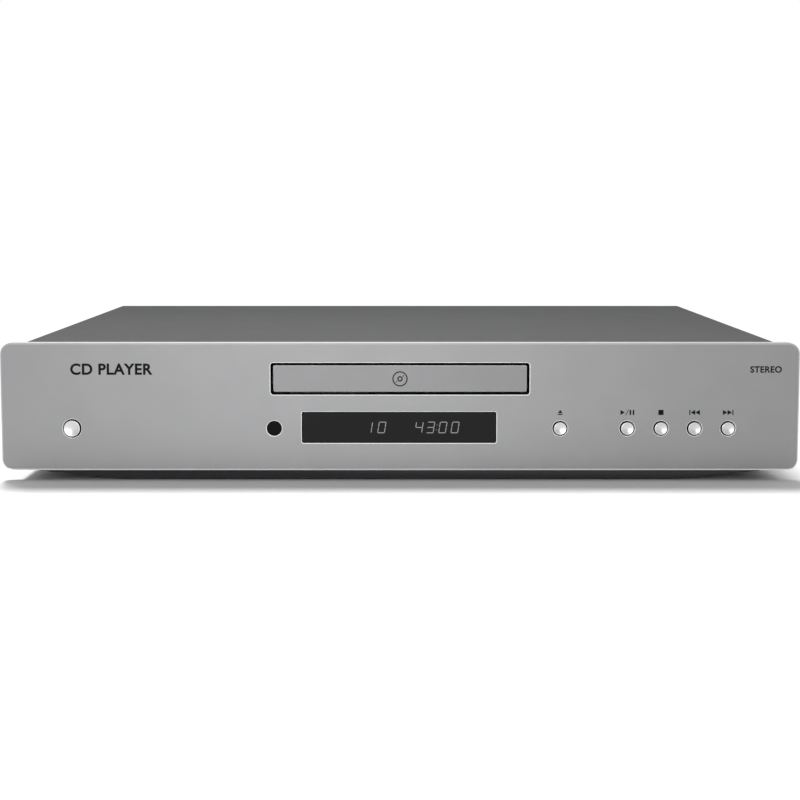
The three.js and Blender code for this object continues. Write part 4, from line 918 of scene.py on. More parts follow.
@dataclass
class DisplayUnit:
    """Smoked window, its digits, and the round infrared window."""

    bevel: float = 0.2 * MM
    digit_size: tuple[float, float] = (4.0 * MM, 6.2 * MM)
    stroke: float = 0.38 * MM
    gap: float = 0.16 * MM
    lean: float = 0.16
    digit_places: tuple[tuple[str, float], ...] = (("1", -16.5), ("0", -9.3), ("4", 10.8),
                                                   ("3", 17.0), ("0", 23.6), ("0", 30.2))
    colon: tuple[float, float] = (20.3 * MM, 1.3 * MM)
    flange: float = 1.6 * MM
    eye_flange: float = 1.4 * MM

    def build(self) -> None:
        """Models the window, the digits and the eye."""
        self.build_window()
        self.build_digits()
        self.build_eye()

    def build_window(self) -> None:
        """Models the smoked window with a chamfered edge."""
        low, high = window_plug()
        full_low, full_high = box_of("display_window")
        finishes = [SMOKED.material(), CUT_EDGE.material()]
        with Piece("window_pane", finishes, stands_for=["display_window"]) as piece:
            place = shifted((low.x + high.x) / 2, low.y, (low.z + high.z) / 2) @ FACING_FRONT
            face = corner_loop(piece.bm, high.x - low.x, high.z - low.z, 0.8 * MM, place, 6)
            plate(piece.bm, [face], Vector((0, full_high.y - low.y - self.flange, 0)), self.bevel)
            brick(piece.bm, (full_low.x, full_high.y - self.flange, full_low.z), full_high,
                  self.bevel)

    def build_digits(self) -> None:
        """Models the lit segments of the track and the time."""
        low, high = window_plug()
        middle = (low + high) / 2
        with Piece("display_digits", [DIGIT_GLOW.material()]) as piece:
            for digit, x in self.digit_places:
                for segment in SEGMENTS[digit]:
                    self.segment(piece.bm, segment, middle.x + x * MM, low.y, middle.z)
            across, rise = self.colon
            for up in (-1, 1):
                self.slab(piece.bm, across + middle.x, up * rise, self.stroke, self.stroke, low.y,
                          middle.z)

    def segment(self, bm: BMesh, name: str, x: float, front: float, z: float) -> None:
        """Adds one of the seven segments.

        Args:
            bm: the digits' mesh.
            name: a to g, clockwise from the top, with g in the middle.
            x: middle of the digit.
            front: plane of the window's face.
            z: middle height of the digit.
        """
        half_x = self.digit_size[0] / 2 - self.stroke / 2
        half_z = self.digit_size[1] / 2 - self.stroke / 2
        across, up, upright = SEGMENT_PLACES[name]
        length = (half_z if upright else 2 * half_x) - 2 * self.gap
        width, height = (self.stroke, length) if upright else (length, self.stroke)
        self.slab(bm, x + across * half_x, up * half_z, width, height, front, z)

    def slab(self, bm: BMesh, x: float, rise: float, width: float, height: float, front: float,
             z: float) -> None:
        """Adds one leaning lit bar.

        Args:
            bm: the digits' mesh.
            x: its middle.
            rise: its height above the middle of the digit.
            width: its size along X.
            height: its size along Z.
            front: plane of the window's face.
            z: middle height of the digit.
        """
        verts = brick(bm, (-width / 2, rise - height / 2, -PRINT_DEPTH / 2),
                      (width / 2, rise + height / 2, PRINT_DEPTH / 2))
        place = shifted(x, front, z) @ FACING_FRONT @ shear_up(self.lean)
        bmesh.ops.transform(bm, matrix=place, verts=verts)

    def build_eye(self) -> None:
        """Models the glossy round window of the remote control's receiver."""
        low, high = box_of("ir_window")
        middle = (low + high) / 2
        depth = high.y - low.y
        place = shifted(middle.x, low.y, middle.z) @ FACING_REAR
        flange = (high.x - low.x) / 2
        back = depth - self.eye_flange
        profile = [(0, 0.0), (EYE_RADIUS * 0.5, 0.03 * MM), (EYE_RADIUS - 0.35 * MM, 0.12 * MM),
                   (EYE_RADIUS - 0.1 * MM, 0.3 * MM), (EYE_RADIUS, 0.6 * MM), (EYE_RADIUS, back),
                   (flange, back), (flange, depth), (0, depth)]
        with Piece("receiver_eye", [EYE_GLASS.material()], stands_for=["ir_window"]) as piece:
            turn(piece.bm, profile, place)


def shear_up(lean: float) -> Matrix:
    """Leans a flat shape in XY to the right as it goes up."""
    made = Matrix.Identity(4)
    made[0][1] = lean
    return made


SEGMENTS = {"0": "abcdef", "1": "bc", "3": "abcdg", "4": "bcfg"}
SEGMENT_PLACES = {"a": (0, 1, False), "b": (1, 0.5, True), "c": (1, -0.5, True),
                  "d": (0, -1, False), "e": (-1, -0.5, True), "f": (-1, 0.5, True),
                  "g": (0, 0, False)}


# ------------------------------------------------------------------ enclosure
@dataclass
class Enclosure:
    """Folded cover, plinth bars, pads and the screws that hold them."""

    sheet: float = 1.2 * MM
    bend: float = 2.2 * MM
    screw_places: tuple[float, float] = (-100 * MM, 100 * MM)
    screw_height: float = 15 * MM
    screw_radius: float = 3.6 * MM
    rear_screw_radius: float = 2.9 * MM
    rear_screw_inset: tuple[float, float] = (9 * MM, 7 * MM)
    bar_slope: float = 45 * MM
    bar_lip: float = 0.8 * MM
    bar_edge: float = 0.3 * MM

    def build(self) -> None:
        """Models the enclosure's pieces."""
        self.build_cover()
        for node in ("front_plinth", "rear_plinth"):
            self.build_plinth(node)
        for row in ("front", "rear"):
            for hand in ("left", "right"):
                self.build_pad(f"foot_pad_{row}_{hand}")
        self.build_screws()

    def build_cover(self) -> None:
        """Folds the cover from one strip of sheet with two rounded bends."""
        low, high = box_of("top_cover")
        with Piece("cover_shell", [COVER_PAINT.material()], stands_for=["top_cover"]) as piece:
            bm = piece.bm
            places = [(low.x, low.z), (low.x, high.z), (high.x, high.z), (high.x, low.z)]
            verts = [bm.verts.new((x, low.y, z)) for x, z in places]
            for pair in zip(verts, verts[1:]):
                bm.edges.new(pair)
            soften(bm, verts[1:3], self.bend, 8, "VERTICES")
            made = bmesh.ops.extrude_edge_only(bm, edges=list(bm.edges))
            bmesh.ops.translate(bm, vec=(0, high.y - low.y, 0), verts=made_verts(made))
            bmesh.ops.recalc_face_normals(bm, faces=bm.faces)
            upward = max(bm.faces, key=lambda face: face.calc_area())
            if upward.normal.z < 0:
                bmesh.ops.reverse_faces(bm, faces=bm.faces)
            bmesh.ops.solidify(bm, geom=bm.faces, thickness=self.sheet)

    def build_plinth(self, node: str) -> None:
        """Models a bar with sloping ends.

        Args:
            node: the CAD node that it replaces.
        """
        low, high = box_of(node)
        slope, lip = self.bar_slope, self.bar_lip
        name = node.replace("plinth", "bar")
        with Piece(name, [PLINTH_PAINT.material()], stands_for=[node]) as piece:
            bm = piece.bm
            outline = [(low.x + slope, low.z), (high.x - slope, low.z), (high.x, high.z - lip),
                       (high.x, high.z), (low.x, high.z), (low.x, high.z - lip)]
            draw_out(bm, [(x, low.y, z) for x, z in outline], (0, high.y - low.y, 0))
            soften(bm, list(bm.edges), self.bar_edge)

    def build_pad(self, node: str) -> None:
        """Models a soft round pad with a rounded edge.

        Args:
            node: the CAD node that it replaces.
        """
        low, high = box_of(node)
        middle = (low + high) / 2
        radius = (high.x - low.x) / 2
        height = high.z - low.z
        profile = [(0, 0), (radius - 0.6 * MM, 0), (radius - 0.2 * MM, 0.15 * MM),
                   (radius, 0.5 * MM), (radius, height), (0, height)]
        name = node.replace("foot_", "soft_")
        with Piece(name, [PAD_RUBBER.material()], stands_for=[node]) as piece:
            turn(piece.bm, profile, shifted(middle.x, middle.y, low.z), 48)

    def build_screws(self) -> None:
        """Models the cover screws on both sides and the rear screws."""
        low, high = box_of("top_cover")
        finish = SCREW_BLACK.material()
        for hand, x, spin in (("left", low.x, -90), ("right", high.x, 90)):
            for row, y in zip(("front", "rear"), self.screw_places):
                place = shifted(x, y, self.screw_height) @ turned(spin, "Y")
                screw(f"cover_screw_{row}_{hand}", place, self.screw_radius, finish)
        low, high = box_of("rear_panel")
        across, up = self.rear_screw_inset
        places = [(x, z) for z in (low.z + up, high.z - up)
                  for x in (low.x + across, high.x - across)]
        for count, (x, z) in enumerate([*places, (0.0, high.z - up)], 1):
            screw(f"rear_screw_{count}", shifted(x, high.y, z) @ FACING_REAR,
                  self.rear_screw_radius, finish)



def screw(name: str, place: Matrix, radius: float, finish: Material) -> None:
    """A domed screw head; it stands on the surface at the origin of its place.

    Args:
        name: the piece's name.
        place: turns and moves the screw, which starts with its head up along Z.
        radius: radius of the head.
        finish: its material.
    """
    crown = radius * 0.42
    profile = [(0, crown * 0.35), (radius * 0.3, crown * 0.35), (radius * 0.32, crown),
               (radius * 0.6, crown * 0.94), (radius * 0.85, crown * 0.66),
               (radius * 0.98, crown * 0.25), (radius, 0.0), (0, 0.0)]
    with Piece(name, [finish]) as piece:
        head = turn(piece.bm, profile, Matrix.Identity(4), 32)
        low = -radius * 0.62
        wing = radius * 0.13
        ribs = brick(piece.bm, (low, -wing, 0.02 * MM), (-radius * 0.3, wing, crown * 0.97))
        ribs += brick(piece.bm, (radius * 0.3, -wing, 0.02 * MM), (-low, wing, crown * 0.97))
        bmesh.ops.delete(piece.bm, geom=ribs, context="VERTS")
        bmesh.ops.transform(piece.bm, matrix=place, verts=head)


# ------------------------------------------------------------------ cut-out helpers
def kept_object(bm: BMesh, name: str) -> bpy.types.Object:
    """Puts a mesh in the scene for a moment.

    Args:
        bm: the mesh, which is freed.
        name: a name for it.

    Returns:
        The object.
    """
    mesh = bpy.data.meshes.new(name)
    bmesh.ops.recalc_face_normals(bm, faces=bm.faces)
    bm.to_mesh(mesh)
    bm.free()
    return shown(name, mesh)


def carve(bm: BMesh, cutters: Sequence[BMesh], edge: float) -> None:
    """Cuts solids out of a solid and rounds its sharp edges.

    Args:
        bm: the solid, which takes the result.
        cutters: the solids to cut away, which are freed.
        edge: radius of the rounded edges.
    """
    base = kept_object(bm.copy(), "carve_base")
    tools = [kept_object(cutter, f"carve_tool_{count}") for count, cutter in enumerate(cutters)]
    for tool in tools:
        modifier = base.modifiers.new(tool.name, "BOOLEAN")
        modifier.operation = "DIFFERENCE"
        modifier.solver = "EXACT"
        modifier.use_self = True
        modifier.object = tool
    result = settled_mesh(base)
    for used in (base, *tools):
        bpy.data.objects.remove(used)
    bm.clear()
    bm.from_mesh(result)
    bmesh.ops.remove_doubles(bm, verts=bm.verts, dist=1e-6)
    bmesh.ops.dissolve_degenerate(bm, dist=1e-6, edges=bm.edges)
    limit = math.radians(30)
    sharp = [side for side in bm.edges if side.is_manifold and side.calc_face_angle(0.0) > limit]
    soften(bm, sharp, edge, clamp=True)


def brick_tool(low: Point, high: Point, bevel: float = 0.0) -> BMesh:
    """A block that cuts.

    Args:
        low: its lowest corner.
        high: its highest corner.
        bevel: radius of its edges.

    Returns:
        Its mesh.
    """
    bm = bmesh.new()
    brick(bm, low, high, bevel)
    return bm


def drum_tool(radius: float, low: float, high: float, place: Matrix, steps: int = 96) -> BMesh:
    """A round cutter.

    Args:
        radius: its radius.
        low: where it starts along its axis.
        high: where it ends.
        place: turns and moves it; its axis starts along Z.
        steps: its sides.

    Returns:
        Its mesh.
    """
    bm = bmesh.new()
    turn(bm, [(0, low), (radius, low), (radius, high), (0, high)], place, steps)
    return bm


def prism(bm: BMesh, outline: Sequence[Point], depth: float, place: Matrix) -> list[Vert]:
    """An outline given a depth along Z.

    Args:
        bm: the mesh to add to.
        outline: points of (x, y).
        depth: how far it is drawn out.
        place: turns and moves it.

    Returns:
        The new vertices.
    """
    verts = draw_out(bm, [(x, y, 0.0) for x, y in outline], (0, 0, depth))
    bmesh.ops.transform(bm, matrix=place, verts=verts)
    return verts


# ------------------------------------------------------------------ drawer
@dataclass
class Drawer:
    """Door with bright edges, and the tray with its two recesses and its rack."""

    chamfer: float = 0.45 * MM
    corner: float = 1.0 * MM
    recess: tuple[float, float] = (60.5 * MM, 3.0 * MM)
    small_recess: tuple[float, float] = (41.0 * MM, 4.0 * MM)
    lane: float = 20.0 * MM
    lip: float = 3.0 * MM
    under: float = 50.7 * MM
    edge: float = 0.3 * MM
    tooth_pitch: float = 4.712 * MM
    tooth_count: int = 32
    gear_reach: float = 9.22 * MM
    body: str = "drawer"

    def build(self) -> None:
        """Models the door, its pictogram and the tray."""
        self.build_door()
        self.build_tray()

    def build_door(self) -> None:
        """Models the door and prints a ring pictogram of a disc on it."""
        low, high = box_of("tray_door")
        middle = (low + high) / 2
        place = shifted(middle.x, low.y, middle.z) @ FACING_FRONT
        finishes = [DOOR_SILVER.material(), CUT_EDGE.material()]
        with Piece("drawer_door", finishes, self.body, ["tray_door"]) as piece:
            outline = corner_loop(piece.bm, high.x - low.x, high.z - low.z, self.corner, place, 6)
            paint(plate(piece.bm, [outline], Vector((0, high.y - low.y, 0)), self.chamfer), 1)
        with Piece("disc_pictogram", [INK_BLACK.material()], self.body) as piece:
            for outer, inner in ((4.1, 3.5), (1.45, 0.8)):
                ring(piece.bm, outer * MM, inner * MM, place)
            for side in (-1, 1):
                verts = brick(piece.bm, (side * 2.4 * MM - 0.55 * MM, -0.2 * MM, -PRINT_DEPTH / 2),
                              (side * 2.4 * MM + 0.55 * MM, 0.2 * MM, PRINT_DEPTH / 2))
                bmesh.ops.transform(piece.bm, matrix=place @ turned(40, "Z"), verts=verts)

    def build_tray(self) -> None:
        """Models the tray, whose recesses hold either size of disc."""
        low, high = box_of("disc_tray")
        centre = centre_of("turntable")
        place = shifted(centre.x, centre.y, 0)
        top = high.z + 2 * MM
        with Piece("tray_slide", [BLACK_MOULD.material()], self.body, ["disc_tray"]) as piece:
            brick(piece.bm, (low.x, low.y, self.under), high)
            start, back = self.under - 2 * MM, high.y + MM
            radius, depth = self.recess
            tools = [drum_tool(wide, high.z - deep, top, place)
                     for wide, deep in (self.recess, self.small_recess)]
            tools.append(drum_tool(self.lane, start, top, place, 64))
            tools.append(brick_tool((-self.lane, centre.y, start), (self.lane, back, top)))
            tools.append(brick_tool((low.x + self.lip, centre.y + radius - 0.5 * MM,
                                     high.z - depth), (high.x - self.lip, back, top)))
            carve(piece.bm, tools, self.edge)
            self.add_rack(piece.bm, low)

    def add_rack(self, bm: BMesh, low: Vector) -> None:
        """Adds the toothed strip under the left side of the tray.

        Args:
            bm: the tray's mesh.
            low: the lowest corner of the tray with its rack.
        """
        gear = centre_of("drive_gear")
        line = gear.x - self.gear_reach
        root, tip = line - 1.6 * MM, line + 1.4 * MM
        start = gear.y - 2.5 * self.tooth_pitch
        end = start + self.tooth_count * self.tooth_pitch
        brick(bm, (root - 2.4 * MM, start, low.z), (root + 0.1 * MM, end, self.under), 0.1 * MM)
        for count in range(self.tooth_count):
            y = start + (count + 0.5) * self.tooth_pitch
            outline = [(root, y - 1.4 * MM), (tip, y - 0.4 * MM), (tip, y + 0.4 * MM),
                       (root, y + 1.4 * MM)]
            prism(bm, outline, self.under - low.z, shifted(0, 0, low.z))


def ring(bm: BMesh, outer: float, inner: float, place: Matrix) -> None:
    """A flat printed ring.

    Args:
        bm: the mesh to add to.
        outer: its outer radius.
        inner: its inner radius.
        place: turns and moves the ring, which starts flat about Z.
    """
    half = PRINT_DEPTH / 2
    turn(bm, [(inner, -half), (outer, -half), (outer, half), (inner, half)], place, 48)


# ------------------------------------------------------------------ rear of the machine
@dataclass
class RearPanel:
    """Rear sheet with the inlet, the switch, the optical outlet, the jacks and the legends."""

    cut_margin: float = 1.7 * MM
    jack_neck: float = 5.7 * MM
    barrel: float = 4.15 * MM
    sleeve: float = 3.35 * MM
    bore: float = 1.7 * MM
    socket_height: float = 40.0 * MM
    sockets: tuple[tuple[str, tuple[tuple[float, Finish], ...]], ...] = (
        ("coax_jack", ((92.0, INSULATOR_ORANGE),)),
        ("line_out_jacks", ((122.0, INSULATOR_RED), (140.0, INSULATOR_WHITE))))
    blade_places: tuple[tuple[float, float], ...] = ((-7.0, 0.0), (0.0, 3.0), (7.0, 0.0))
    rocker_half: float = 9.2 * MM
    pin_radius: float = 1.5 * MM

    def build(self) -> None:
        """Models the rear panel and all that it carries."""
        self.build_sheet()
        self.build_inlet()
        self.build_rocker()
        self.build_optical()
        for node, places in self.sockets:
            self.build_jacks(node, places)
        self.print_legends()

    def build_sheet(self) -> None:
        """Models the painted rear sheet with its holes."""
        low, high = box_of("rear_panel")
        middle = (low + high) / 2
        with Piece("rear_sheet", [COVER_PAINT.material()], stands_for=["rear_panel"]) as piece:
            bm = piece.bm
            plane = shifted(0, high.y, 0)
            loops = [corner_loop(bm, high.x - low.x, high.z - low.z, 0.5 * MM,
                                 plane @ shifted(middle.x, 0, middle.z) @ FACING_REAR, 2)]
            for node, margin in (("mains_inlet", self.cut_margin), ("optical_out", -0.3 * MM)):
                box_low, box_high = box_of(node)
                centre = (box_low + box_high) / 2
                loops.append(corner_loop(bm, box_high.x - box_low.x - 2 * margin,
                                         box_high.z - box_low.z - 2 * margin, 0.6 * MM,
                                         plane @ shifted(centre.x, 0, centre.z) @ FACING_REAR, 3))
            for x in [x for _, places in self.sockets for x, _ in places]:
                place = plane @ shifted(x * MM, 0, self.socket_height) @ FACING_REAR
                loops.append(round_loop(bm, self.jack_neck, place, 48))
            plate(bm, loops, Vector((0, low.y - high.y, 0)))

    def build_inlet(self) -> None:
        """Models the inlet moulding, its shaped cavity and its three blades."""
        low, high = box_of("mains_inlet")
        z = (low.z + high.z) / 2
        inlet_x = low.x + 18 * MM
        rocker = centre_of("power_rocker")
        finishes = [BLACK_MOULD.material(), NICKEL.material()]
        with Piece("inlet_moulding", finishes, stands_for=["mains_inlet"]) as piece:
            shell = piece.bm
            brick(shell, (low.x + 2 * MM, low.y, low.z + 2 * MM),
                  (high.x - 2 * MM, high.y - 1.4 * MM, high.z - 2 * MM))
            cavity = bmesh.new()
            half_x, half_z, cut = 13.5 * MM, 10.0 * MM, 4.5 * MM
            outline = [(-half_x, -half_z), (half_x, -half_z), (half_x, half_z - cut),
                       (half_x - cut, half_z), (cut - half_x, half_z), (-half_x, half_z - cut)]
            prism(cavity, outline, 20 * MM, shifted(inlet_x, high.y + 3 * MM, z) @ FACING_FRONT)
            well = brick_tool((rocker.x - 6.8 * MM, high.y - 12 * MM, z - 10.8 * MM),
                              (rocker.x + 6.8 * MM, high.y + 3 * MM, z + 10.8 * MM))
            brick(shell, (low.x, high.y - 2.6 * MM, low.z), (high.x, high.y, high.z))
            carve(shell, [cavity, well], 0.4 * MM)
            for x, rise in self.blade_places:
                blade = brick(shell,
                              (inlet_x + (x - 1) * MM, high.y - 18 * MM, z + (rise - 2) * MM),
                              (inlet_x + (x + 1) * MM, high.y - 4 * MM, z + (rise + 2) * MM),
                              0.4 * MM)
                paint(faces_of(blade), 1)

    def build_rocker(self) -> None:
        """Models the rocker cap with its two dished halves, its pins and its marks."""
        low, high = box_of("power_rocker")
        pivot = shifted((low.x + high.x) / 2, centre_pivot(), (low.z + high.z) / 2)
        half, rise, flare = self.rocker_half, 6.6 * MM, 1.13 * MM
        dip = flare * 0.25
        outline = [(-2.5 * MM, -half + 1.5 * MM), (-2.5 * MM, half - 1.5 * MM),
                   (rise + flare, half), (rise + dip, half * 0.5), (rise, 0.0),
                   (rise + dip, -half * 0.5), (rise + flare, -half)]
        turn_up = pivot @ Matrix(((0, 0, 1, 0), (1, 0, 0, 0), (0, 1, 0, 0), (0, 0, 0, 1)))
        with Piece("rocker_cap", [BLACK_MOULD.material()], "rocker", ["power_rocker"]) as piece:
            cap = prism(piece.bm, outline, 12.6 * MM, turn_up @ shifted(0, 0, -6.3 * MM))
            soften(piece.bm, edges_of(cap), 0.4 * MM, clamp=True)
            start, end = low.x - pivot.translation.x, high.x - pivot.translation.x
            turn(piece.bm, [(0, start), (self.pin_radius, start), (self.pin_radius, end), (0, end)],
                 pivot @ turned(90, "Y"), 24)
        tilt = math.atan2(flare - dip, half * 0.5)
        face = rise + (dip + flare) / 2
        with Piece("rocker_marks", [INK_WHITE.material()], "rocker") as piece:
            line = brick(piece.bm, (-0.25 * MM, -1.8 * MM, -PRINT_DEPTH / 2),
                         (0.25 * MM, 1.8 * MM, PRINT_DEPTH / 2))
            upper, lower = (pivot @ shifted(0, face, side * half * 0.72)
                            @ Matrix.Rotation(-side * tilt, 4, "X") @ FACING_REAR
                            for side in (1, -1))
            bmesh.ops.transform(piece.bm, matrix=upper, verts=line)
            ring(piece.bm, 1.8 * MM, 1.35 * MM, lower)

    def build_optical(self) -> None:
        """Models the optical outlet's housing and its shutter."""
        low, high = box_of("optical_out")
        middle = (low + high) / 2
        half = 3.5 * MM
        finishes = [BLACK_MOULD.material()]
        with Piece("optical_housing", finishes, stands_for=["optical_out"]) as piece:
            brick(piece.bm, low, high)
            mouth = brick_tool((middle.x - half, high.y - 13 * MM, middle.z - half),
                               (middle.x + half, high.y + 2 * MM, middle.z + half))
            carve(piece.bm, [mouth], 0.35 * MM)
        low, high = box_of("optical_shutter")
        with Piece("shutter_flap", finishes, "shutter", ["optical_shutter"]) as piece:
            brick(piece.bm, low, high, 0.25 * MM)

    def build_jacks(self, node: str, places: Sequence[tuple[float, Finish]]) -> None:
        """Models one block of phono jacks.

        Args:
            node: the CAD node that it replaces.
            places: for each jack, its place along X in millimetres and its insulator's finish.
        """
        low, high = box_of(node)
        panel = box_of("rear_panel")[1].y
        z = self.socket_height
        finishes = [finish.material()
                    for finish in (BLACK_MOULD, GOLD, *(insulator for _, insulator in places))]
        with Piece(node.replace("jack", "socket"), finishes, stands_for=[node]) as piece:
            bm = piece.bm
            brick(bm, (low.x, panel + 0.3 * MM, low.z), (high.x, panel + 2.3 * MM, high.z),
                  0.5 * MM, 3)
            brick(bm, (low.x, low.y, low.z), (high.x, panel - 1.5 * MM, high.z), 0.4 * MM)
            for count, (x, _) in enumerate(places):
                place = shifted(x * MM, panel, z) @ FACING_REAR
                end = high.y - panel
                turn(bm, [(0, -4 * MM), (5.2 * MM, -4 * MM), (5.2 * MM, 0.6 * MM), (0, 0.6 * MM)],
                     place, 32)
                bore, sleeve, barrel = self.bore, self.sleeve, self.barrel
                collar = turn(bm, [(bore, 2.0 * MM), (5.0 * MM, 2.0 * MM), (5.0 * MM, 2.9 * MM),
                                   (4.6 * MM, 3.3 * MM), (barrel, 3.3 * MM),
                                   (barrel, end - 0.4 * MM), (barrel - 0.4 * MM, end),
                                   (sleeve + 0.2 * MM, end), (sleeve, end - 0.2 * MM),
                                   (sleeve, end - 1.2 * MM), (bore, end - 1.2 * MM)], place, 48)
                paint(faces_of(collar), 1)
                lining = sleeve - 0.02 * MM
                insulator = turn(bm, [(bore, 1.6 * MM), (lining, 1.6 * MM),
                                      (lining, end - 0.9 * MM), (sleeve - 0.4 * MM, end - 0.5 * MM),
                                      (bore + 0.25 * MM, end - 0.5 * MM),
                                      (bore, end - 0.75 * MM)], place, 48)
                paint(faces_of(insulator), 2 + count)

    def print_legends(self) -> None:
        """Prints plain legends beside the sockets."""
        panel = box_of("rear_panel")[1].y
        ink = INK_WHITE.material()
        facing = turned(180, "Z") @ FACING_FRONT
        for name, words, size, x, z in LEGENDS:
            lettering(name, words, size * MM, shifted(x * MM, panel, z * MM) @ facing, ink)


# Name, words, height of a line, and place along X and Z, in millimetres.
LEGENDS: tuple[tuple[str, str, float, float, float], ...] = (
    ("legend_mains", "AC IN", 3.4, -168.0, 16.5),
    ("legend_power", "POWER", 3.4, -137.0, 16.5),
    ("legend_digital", "DIGITAL OUT", 3.4, 78.0, 55.5),
    ("legend_optical", "OPTICAL", 2.6, 64.0, 50.0),
    ("legend_coaxial", "COAXIAL", 2.6, 92.0, 50.0),
    ("legend_line", "LINE OUT", 3.4, 131.0, 55.5),
    ("legend_right", "R", 2.8, 122.0, 50.0),
    ("legend_left", "L", 2.8, 140.0, 50.0),
)


def centre_pivot() -> float:
    """Place of the rocker's pins along Y: half the switch's depth inside the inlet's face."""
    return box_of("mains_inlet")[1].y - 6 * MM


# ------------------------------------------------------------------ optical mechanism
@dataclass
class Mechanism:
    """Turntable, clamp puck, pickup lens, guide rods and lead screw."""

    edge: float = 0.4 * MM
    seat_drop: float = 2.5 * MM
    platter: float = 2.0 * MM
    lens_radius: float = 4.6 * MM
    thread: float = 0.6 * MM
    groove: float = 0.25 * MM
    hub: float = 7.3 * MM
    puck_cap: float = 11 * MM
    puck_neck: float = 7.5 * MM
    puck_layer: float = 1.6 * MM

    def build(self) -> None:
        """Models the parts of the mechanism that show through the open drawer."""
        self.build_turntable()
        self.build_puck()
        self.build_lens()
        for hand in ("left", "right"):
            self.build_rod(f"guide_rod_{hand}", "traverse", False)
        self.build_rod("lead_screw", "lead_screw", True)

    def build_turntable(self) -> None:
        """Models the turntable with its centring hub and a soft ring for the disc."""
        low, high = box_of("turntable")
        centre = (low + high) / 2
        place = shifted(centre.x, centre.y, 0)
        radius = (high.x - low.x) / 2
        top = high.z - self.seat_drop
        under = top - self.platter
        edge, hub = self.edge, self.hub
        profile = [(0, low.z), (MM, low.z), (MM, under - 3 * MM), (4 * MM, under - 3 * MM),
                   (4 * MM, under), (radius - edge, under), (radius, under + edge),
                   (radius, top - edge), (radius - edge, top),
                   (hub + 0.3 * MM, top), (hub, top + 0.3 * MM), (hub, high.z - 1.2 * MM),
                   (hub - edge, high.z - 0.6 * MM), (hub - 1.2 * MM, high.z), (2 * MM, high.z),
                   (1.6 * MM, high.z - 0.5 * MM), (0, high.z - 0.5 * MM)]
        finishes = [BLACK_MOULD.material(), PAD_RUBBER.material()]
        with Piece("turntable_hub", finishes, "turntable", ["turntable"]) as piece:
            turn(piece.bm, profile, place, 64)
            seat = turn(piece.bm, [(10 * MM, top - 0.05 * MM), (15 * MM, top - 0.05 * MM),
                                   (15 * MM, top + 0.1 * MM), (10 * MM, top + 0.1 * MM)], place, 64)
            paint(faces_of(seat), 1)

    def build_puck(self) -> None:
        """Models the clamp puck, which hangs by its cap in the bridge."""
        low, high = box_of("clamp_puck")
        centre = (low + high) / 2
        rim, cap_low = low.z + self.puck_layer, high.z - self.puck_layer
        edge = self.edge
        wide, cap, neck = (high.x - low.x) / 2, self.puck_cap, self.puck_neck
        profile = [(0, low.z), (wide - edge, low.z), (wide, low.z + edge), (wide, rim - edge),
                   (wide - edge, rim), (neck, rim), (neck, cap_low), (cap - edge, cap_low),
                   (cap, cap_low + edge), (cap, high.z - edge), (cap - edge, high.z),
                   (4 * MM, high.z), (3.6 * MM, high.z - edge), (0, high.z - edge)]
        with Piece("puck_body", [BLACK_MOULD.material()], "clamp", ["clamp_puck"]) as piece:
            turn(piece.bm, profile, shifted(centre.x, centre.y, 0), 64)

    def build_lens(self) -> None:
        """Models the lens carrier and its glass dome."""
        low, high = box_of("pickup_lens")
        centre = (low + high) / 2
        carrier_top = low.z + 2.5 * MM
        middle = high.z - self.lens_radius
        start = math.asin((carrier_top - middle) / self.lens_radius)
        arc = [(self.lens_radius * math.cos(angle), middle + self.lens_radius * math.sin(angle))
               for angle in (start + (math.pi / 2 - start) * step / 8 for step in range(8))]
        finishes = [BLACK_MOULD.material(), LENS_GLASS.material()]
        with Piece("lens_unit", finishes, "sled", ["pickup_lens"]) as piece:
            brick(piece.bm, low, (high.x, high.y, carrier_top), 0.6 * MM, 3)
            foot = carrier_top - MM
            dome = turn(piece.bm, [(0, foot), (arc[0][0], foot), *arc, (0, high.z)],
                        shifted(centre.x, centre.y, 0), 48)
            paint(faces_of(dome), 1)

    def build_rod(self, node: str, body: str, threaded: bool) -> None:
        """Models a polished rod with rounded ends.

        Args:
            node: the CAD node that it replaces.
            body: the CAD body that it rides on.
            threaded: whether grooves run along it.
        """
        low, high = box_of(node)
        centre = (low + high) / 2
        radius, length = (high.x - low.x) / 2, high.y - low.y
        stations = [(radius - self.edge, 0.0), (radius, self.edge)]
        if threaded:
            count = int((length - 2 * self.edge) / (2 * self.thread))
            for step in range(1, count):
                along = self.edge + 2 * step * self.thread
                stations += [(radius, along - self.thread),
                             (radius - self.groove, along - self.thread / 2), (radius, along)]
        stations += [(radius, length - self.edge), (radius - self.edge, length)]
        with Piece(f"{node}_bar", [NICKEL.material()], body, [node]) as piece:
            turn(piece.bm, [(0, 0), *stations, (0, length)],
                 shifted(centre.x, low.y, centre.z) @ FACING_REAR, 24)


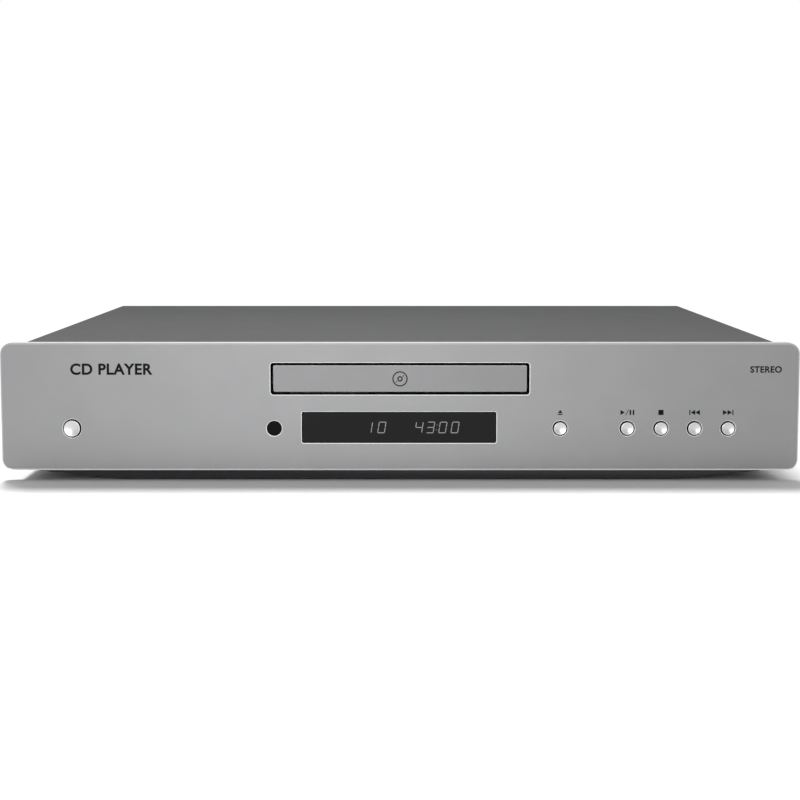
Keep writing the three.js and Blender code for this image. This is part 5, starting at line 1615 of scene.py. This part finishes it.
# ------------------------------------------------------------------ studio
@dataclass
class Studio:
    """Pale floor, soft light all round and the camera in front."""

    camera_back: float = 784.6 * MM
    camera_height: float = 150.5 * MM
    focal: float = 66.06
    sensor: float = 36.0
    pitch: float = 4.3
    shift: float = -0.1094

    def build(self) -> None:
        """Sets the stage."""
        self.build_floor()
        self.build_world()
        self.build_lights()
        self.build_camera()

    def build_floor(self) -> None:
        """Lays a pale floor with a wide round edge."""
        bm = bmesh.new()
        bmesh.ops.create_circle(bm, cap_ends=True, radius=40.0, segments=64)
        mesh = bpy.data.meshes.new("floor")
        bm.to_mesh(mesh)
        bm.free()
        mesh.materials.append(FLOOR_PAPER.material())
        shown("floor", mesh)

    def build_world(self) -> None:
        """Surrounds the machine with white light."""
        world = bpy.data.worlds.new("studio")
        world.use_nodes = True
        background = world.node_tree.nodes["Background"]
        background.inputs["Color"].default_value = (1.0, 1.0, 1.0, 1.0)
        background.inputs["Strength"].default_value = 1.0
        bpy.context.scene.world = world

    def build_lights(self) -> None:
        """Hangs the soft boxes."""
        self.soft_box("front_box", (-0.12, -1.45, 0.1), (-0.06, 0.0, 0.04), (0.45, 0.3), 4.0)
        self.soft_box("floor_box", (-0.1, 0.2, 0.95), (-0.04, -0.34, 0.0), (0.5, 0.3), 2.0, 60.0)
        self.sun(4.1)

    def sun(self, strength: float) -> None:
        """Adds an even light from high behind, which leaves a soft shadow in front of the machine.

        Args:
            strength: the power on each square metre.
        """
        lamp = bpy.data.lights.new("high_light", "SUN")
        lamp.energy = strength
        lamp.angle = math.radians(22)
        shown("high_light", lamp).rotation_euler = (math.radians(-23), math.radians(-8), 0.0)

    def soft_box(self, name: str, place: Point, aim: Point, size: tuple[float, float], watts: float,
                 spread: float = 180.0) -> None:
        """Hangs one rectangular light.

        Args:
            name: the light's name.
            place: where it hangs.
            aim: the point that it faces.
            size: its width and height.
            watts: its power.
            spread: how wide its light fans out, in degrees.
        """
        lamp = bpy.data.lights.new(name, "AREA")
        lamp.shape = "RECTANGLE"
        lamp.size, lamp.size_y = size
        lamp.energy = watts
        lamp.spread = math.radians(spread)
        box = shown(name, lamp)
        box.location = place
        box.rotation_euler = (Vector(aim) - Vector(place)).to_track_quat("-Z", "Y").to_euler()

    def build_camera(self) -> None:
        """Stands the camera in front of the panel, a little above it."""
        low, _ = box_of("front_panel")
        data = bpy.data.cameras.new("camera")
        data.lens = self.focal
        data.sensor_width = self.sensor
        data.shift_y = self.shift
        data.clip_end = 100.0
        camera = shown("camera", data)
        camera.location = (0.0, low.y - self.camera_back, self.camera_height)
        camera.rotation_euler = (math.radians(90 - self.pitch), 0.0, 0.0)
        bpy.context.scene.camera = camera
        bpy.context.scene.view_settings.view_transform = "Standard"


def dress_frame() -> None:
    """Gives each CAD node that stays in view the finish of its slot."""
    for name, node in frame["nodes"].items():
        finish = SLOT_FINISHES[SLOTS[name]].material()
        node.data.materials.clear()
        node.data.materials.append(finish)


SLOT_FINISHES: dict[str, Finish] = {
    "anodised": ANODISED,
    "painted_steel": COVER_PAINT,
    "zinc_steel": ZINC,
    "plinth_paint": PLINTH_PAINT,
    "rubber": PAD_RUBBER,
    "button_metal": POLISHED,
    "smoked_window": SMOKED,
    "display_glass": EYE_GLASS,
    "circuit_board": LACQUER,
    "black_plastic": BLACK_MOULD,
    "white_plastic": WHITE_ACETAL,
    "sled_metal": CASTING,
    "core_steel": LAMINATION,
    "cable_jacket": RIBBON,
}


def main() -> None:
    """Builds the studio and the machine, piece by piece."""
    logging.basicConfig(level=logging.INFO, format="%(name)s %(message)s")
    dress_frame()
    for part in (Studio(), FrontPanel(), PushButtons(), DisplayUnit(), Enclosure(), Drawer(),
                 RearPanel(), Mechanism()):
        LOG.info("building %s", type(part).__name__)
        part.build()


if __name__ == "__main__":
    main()
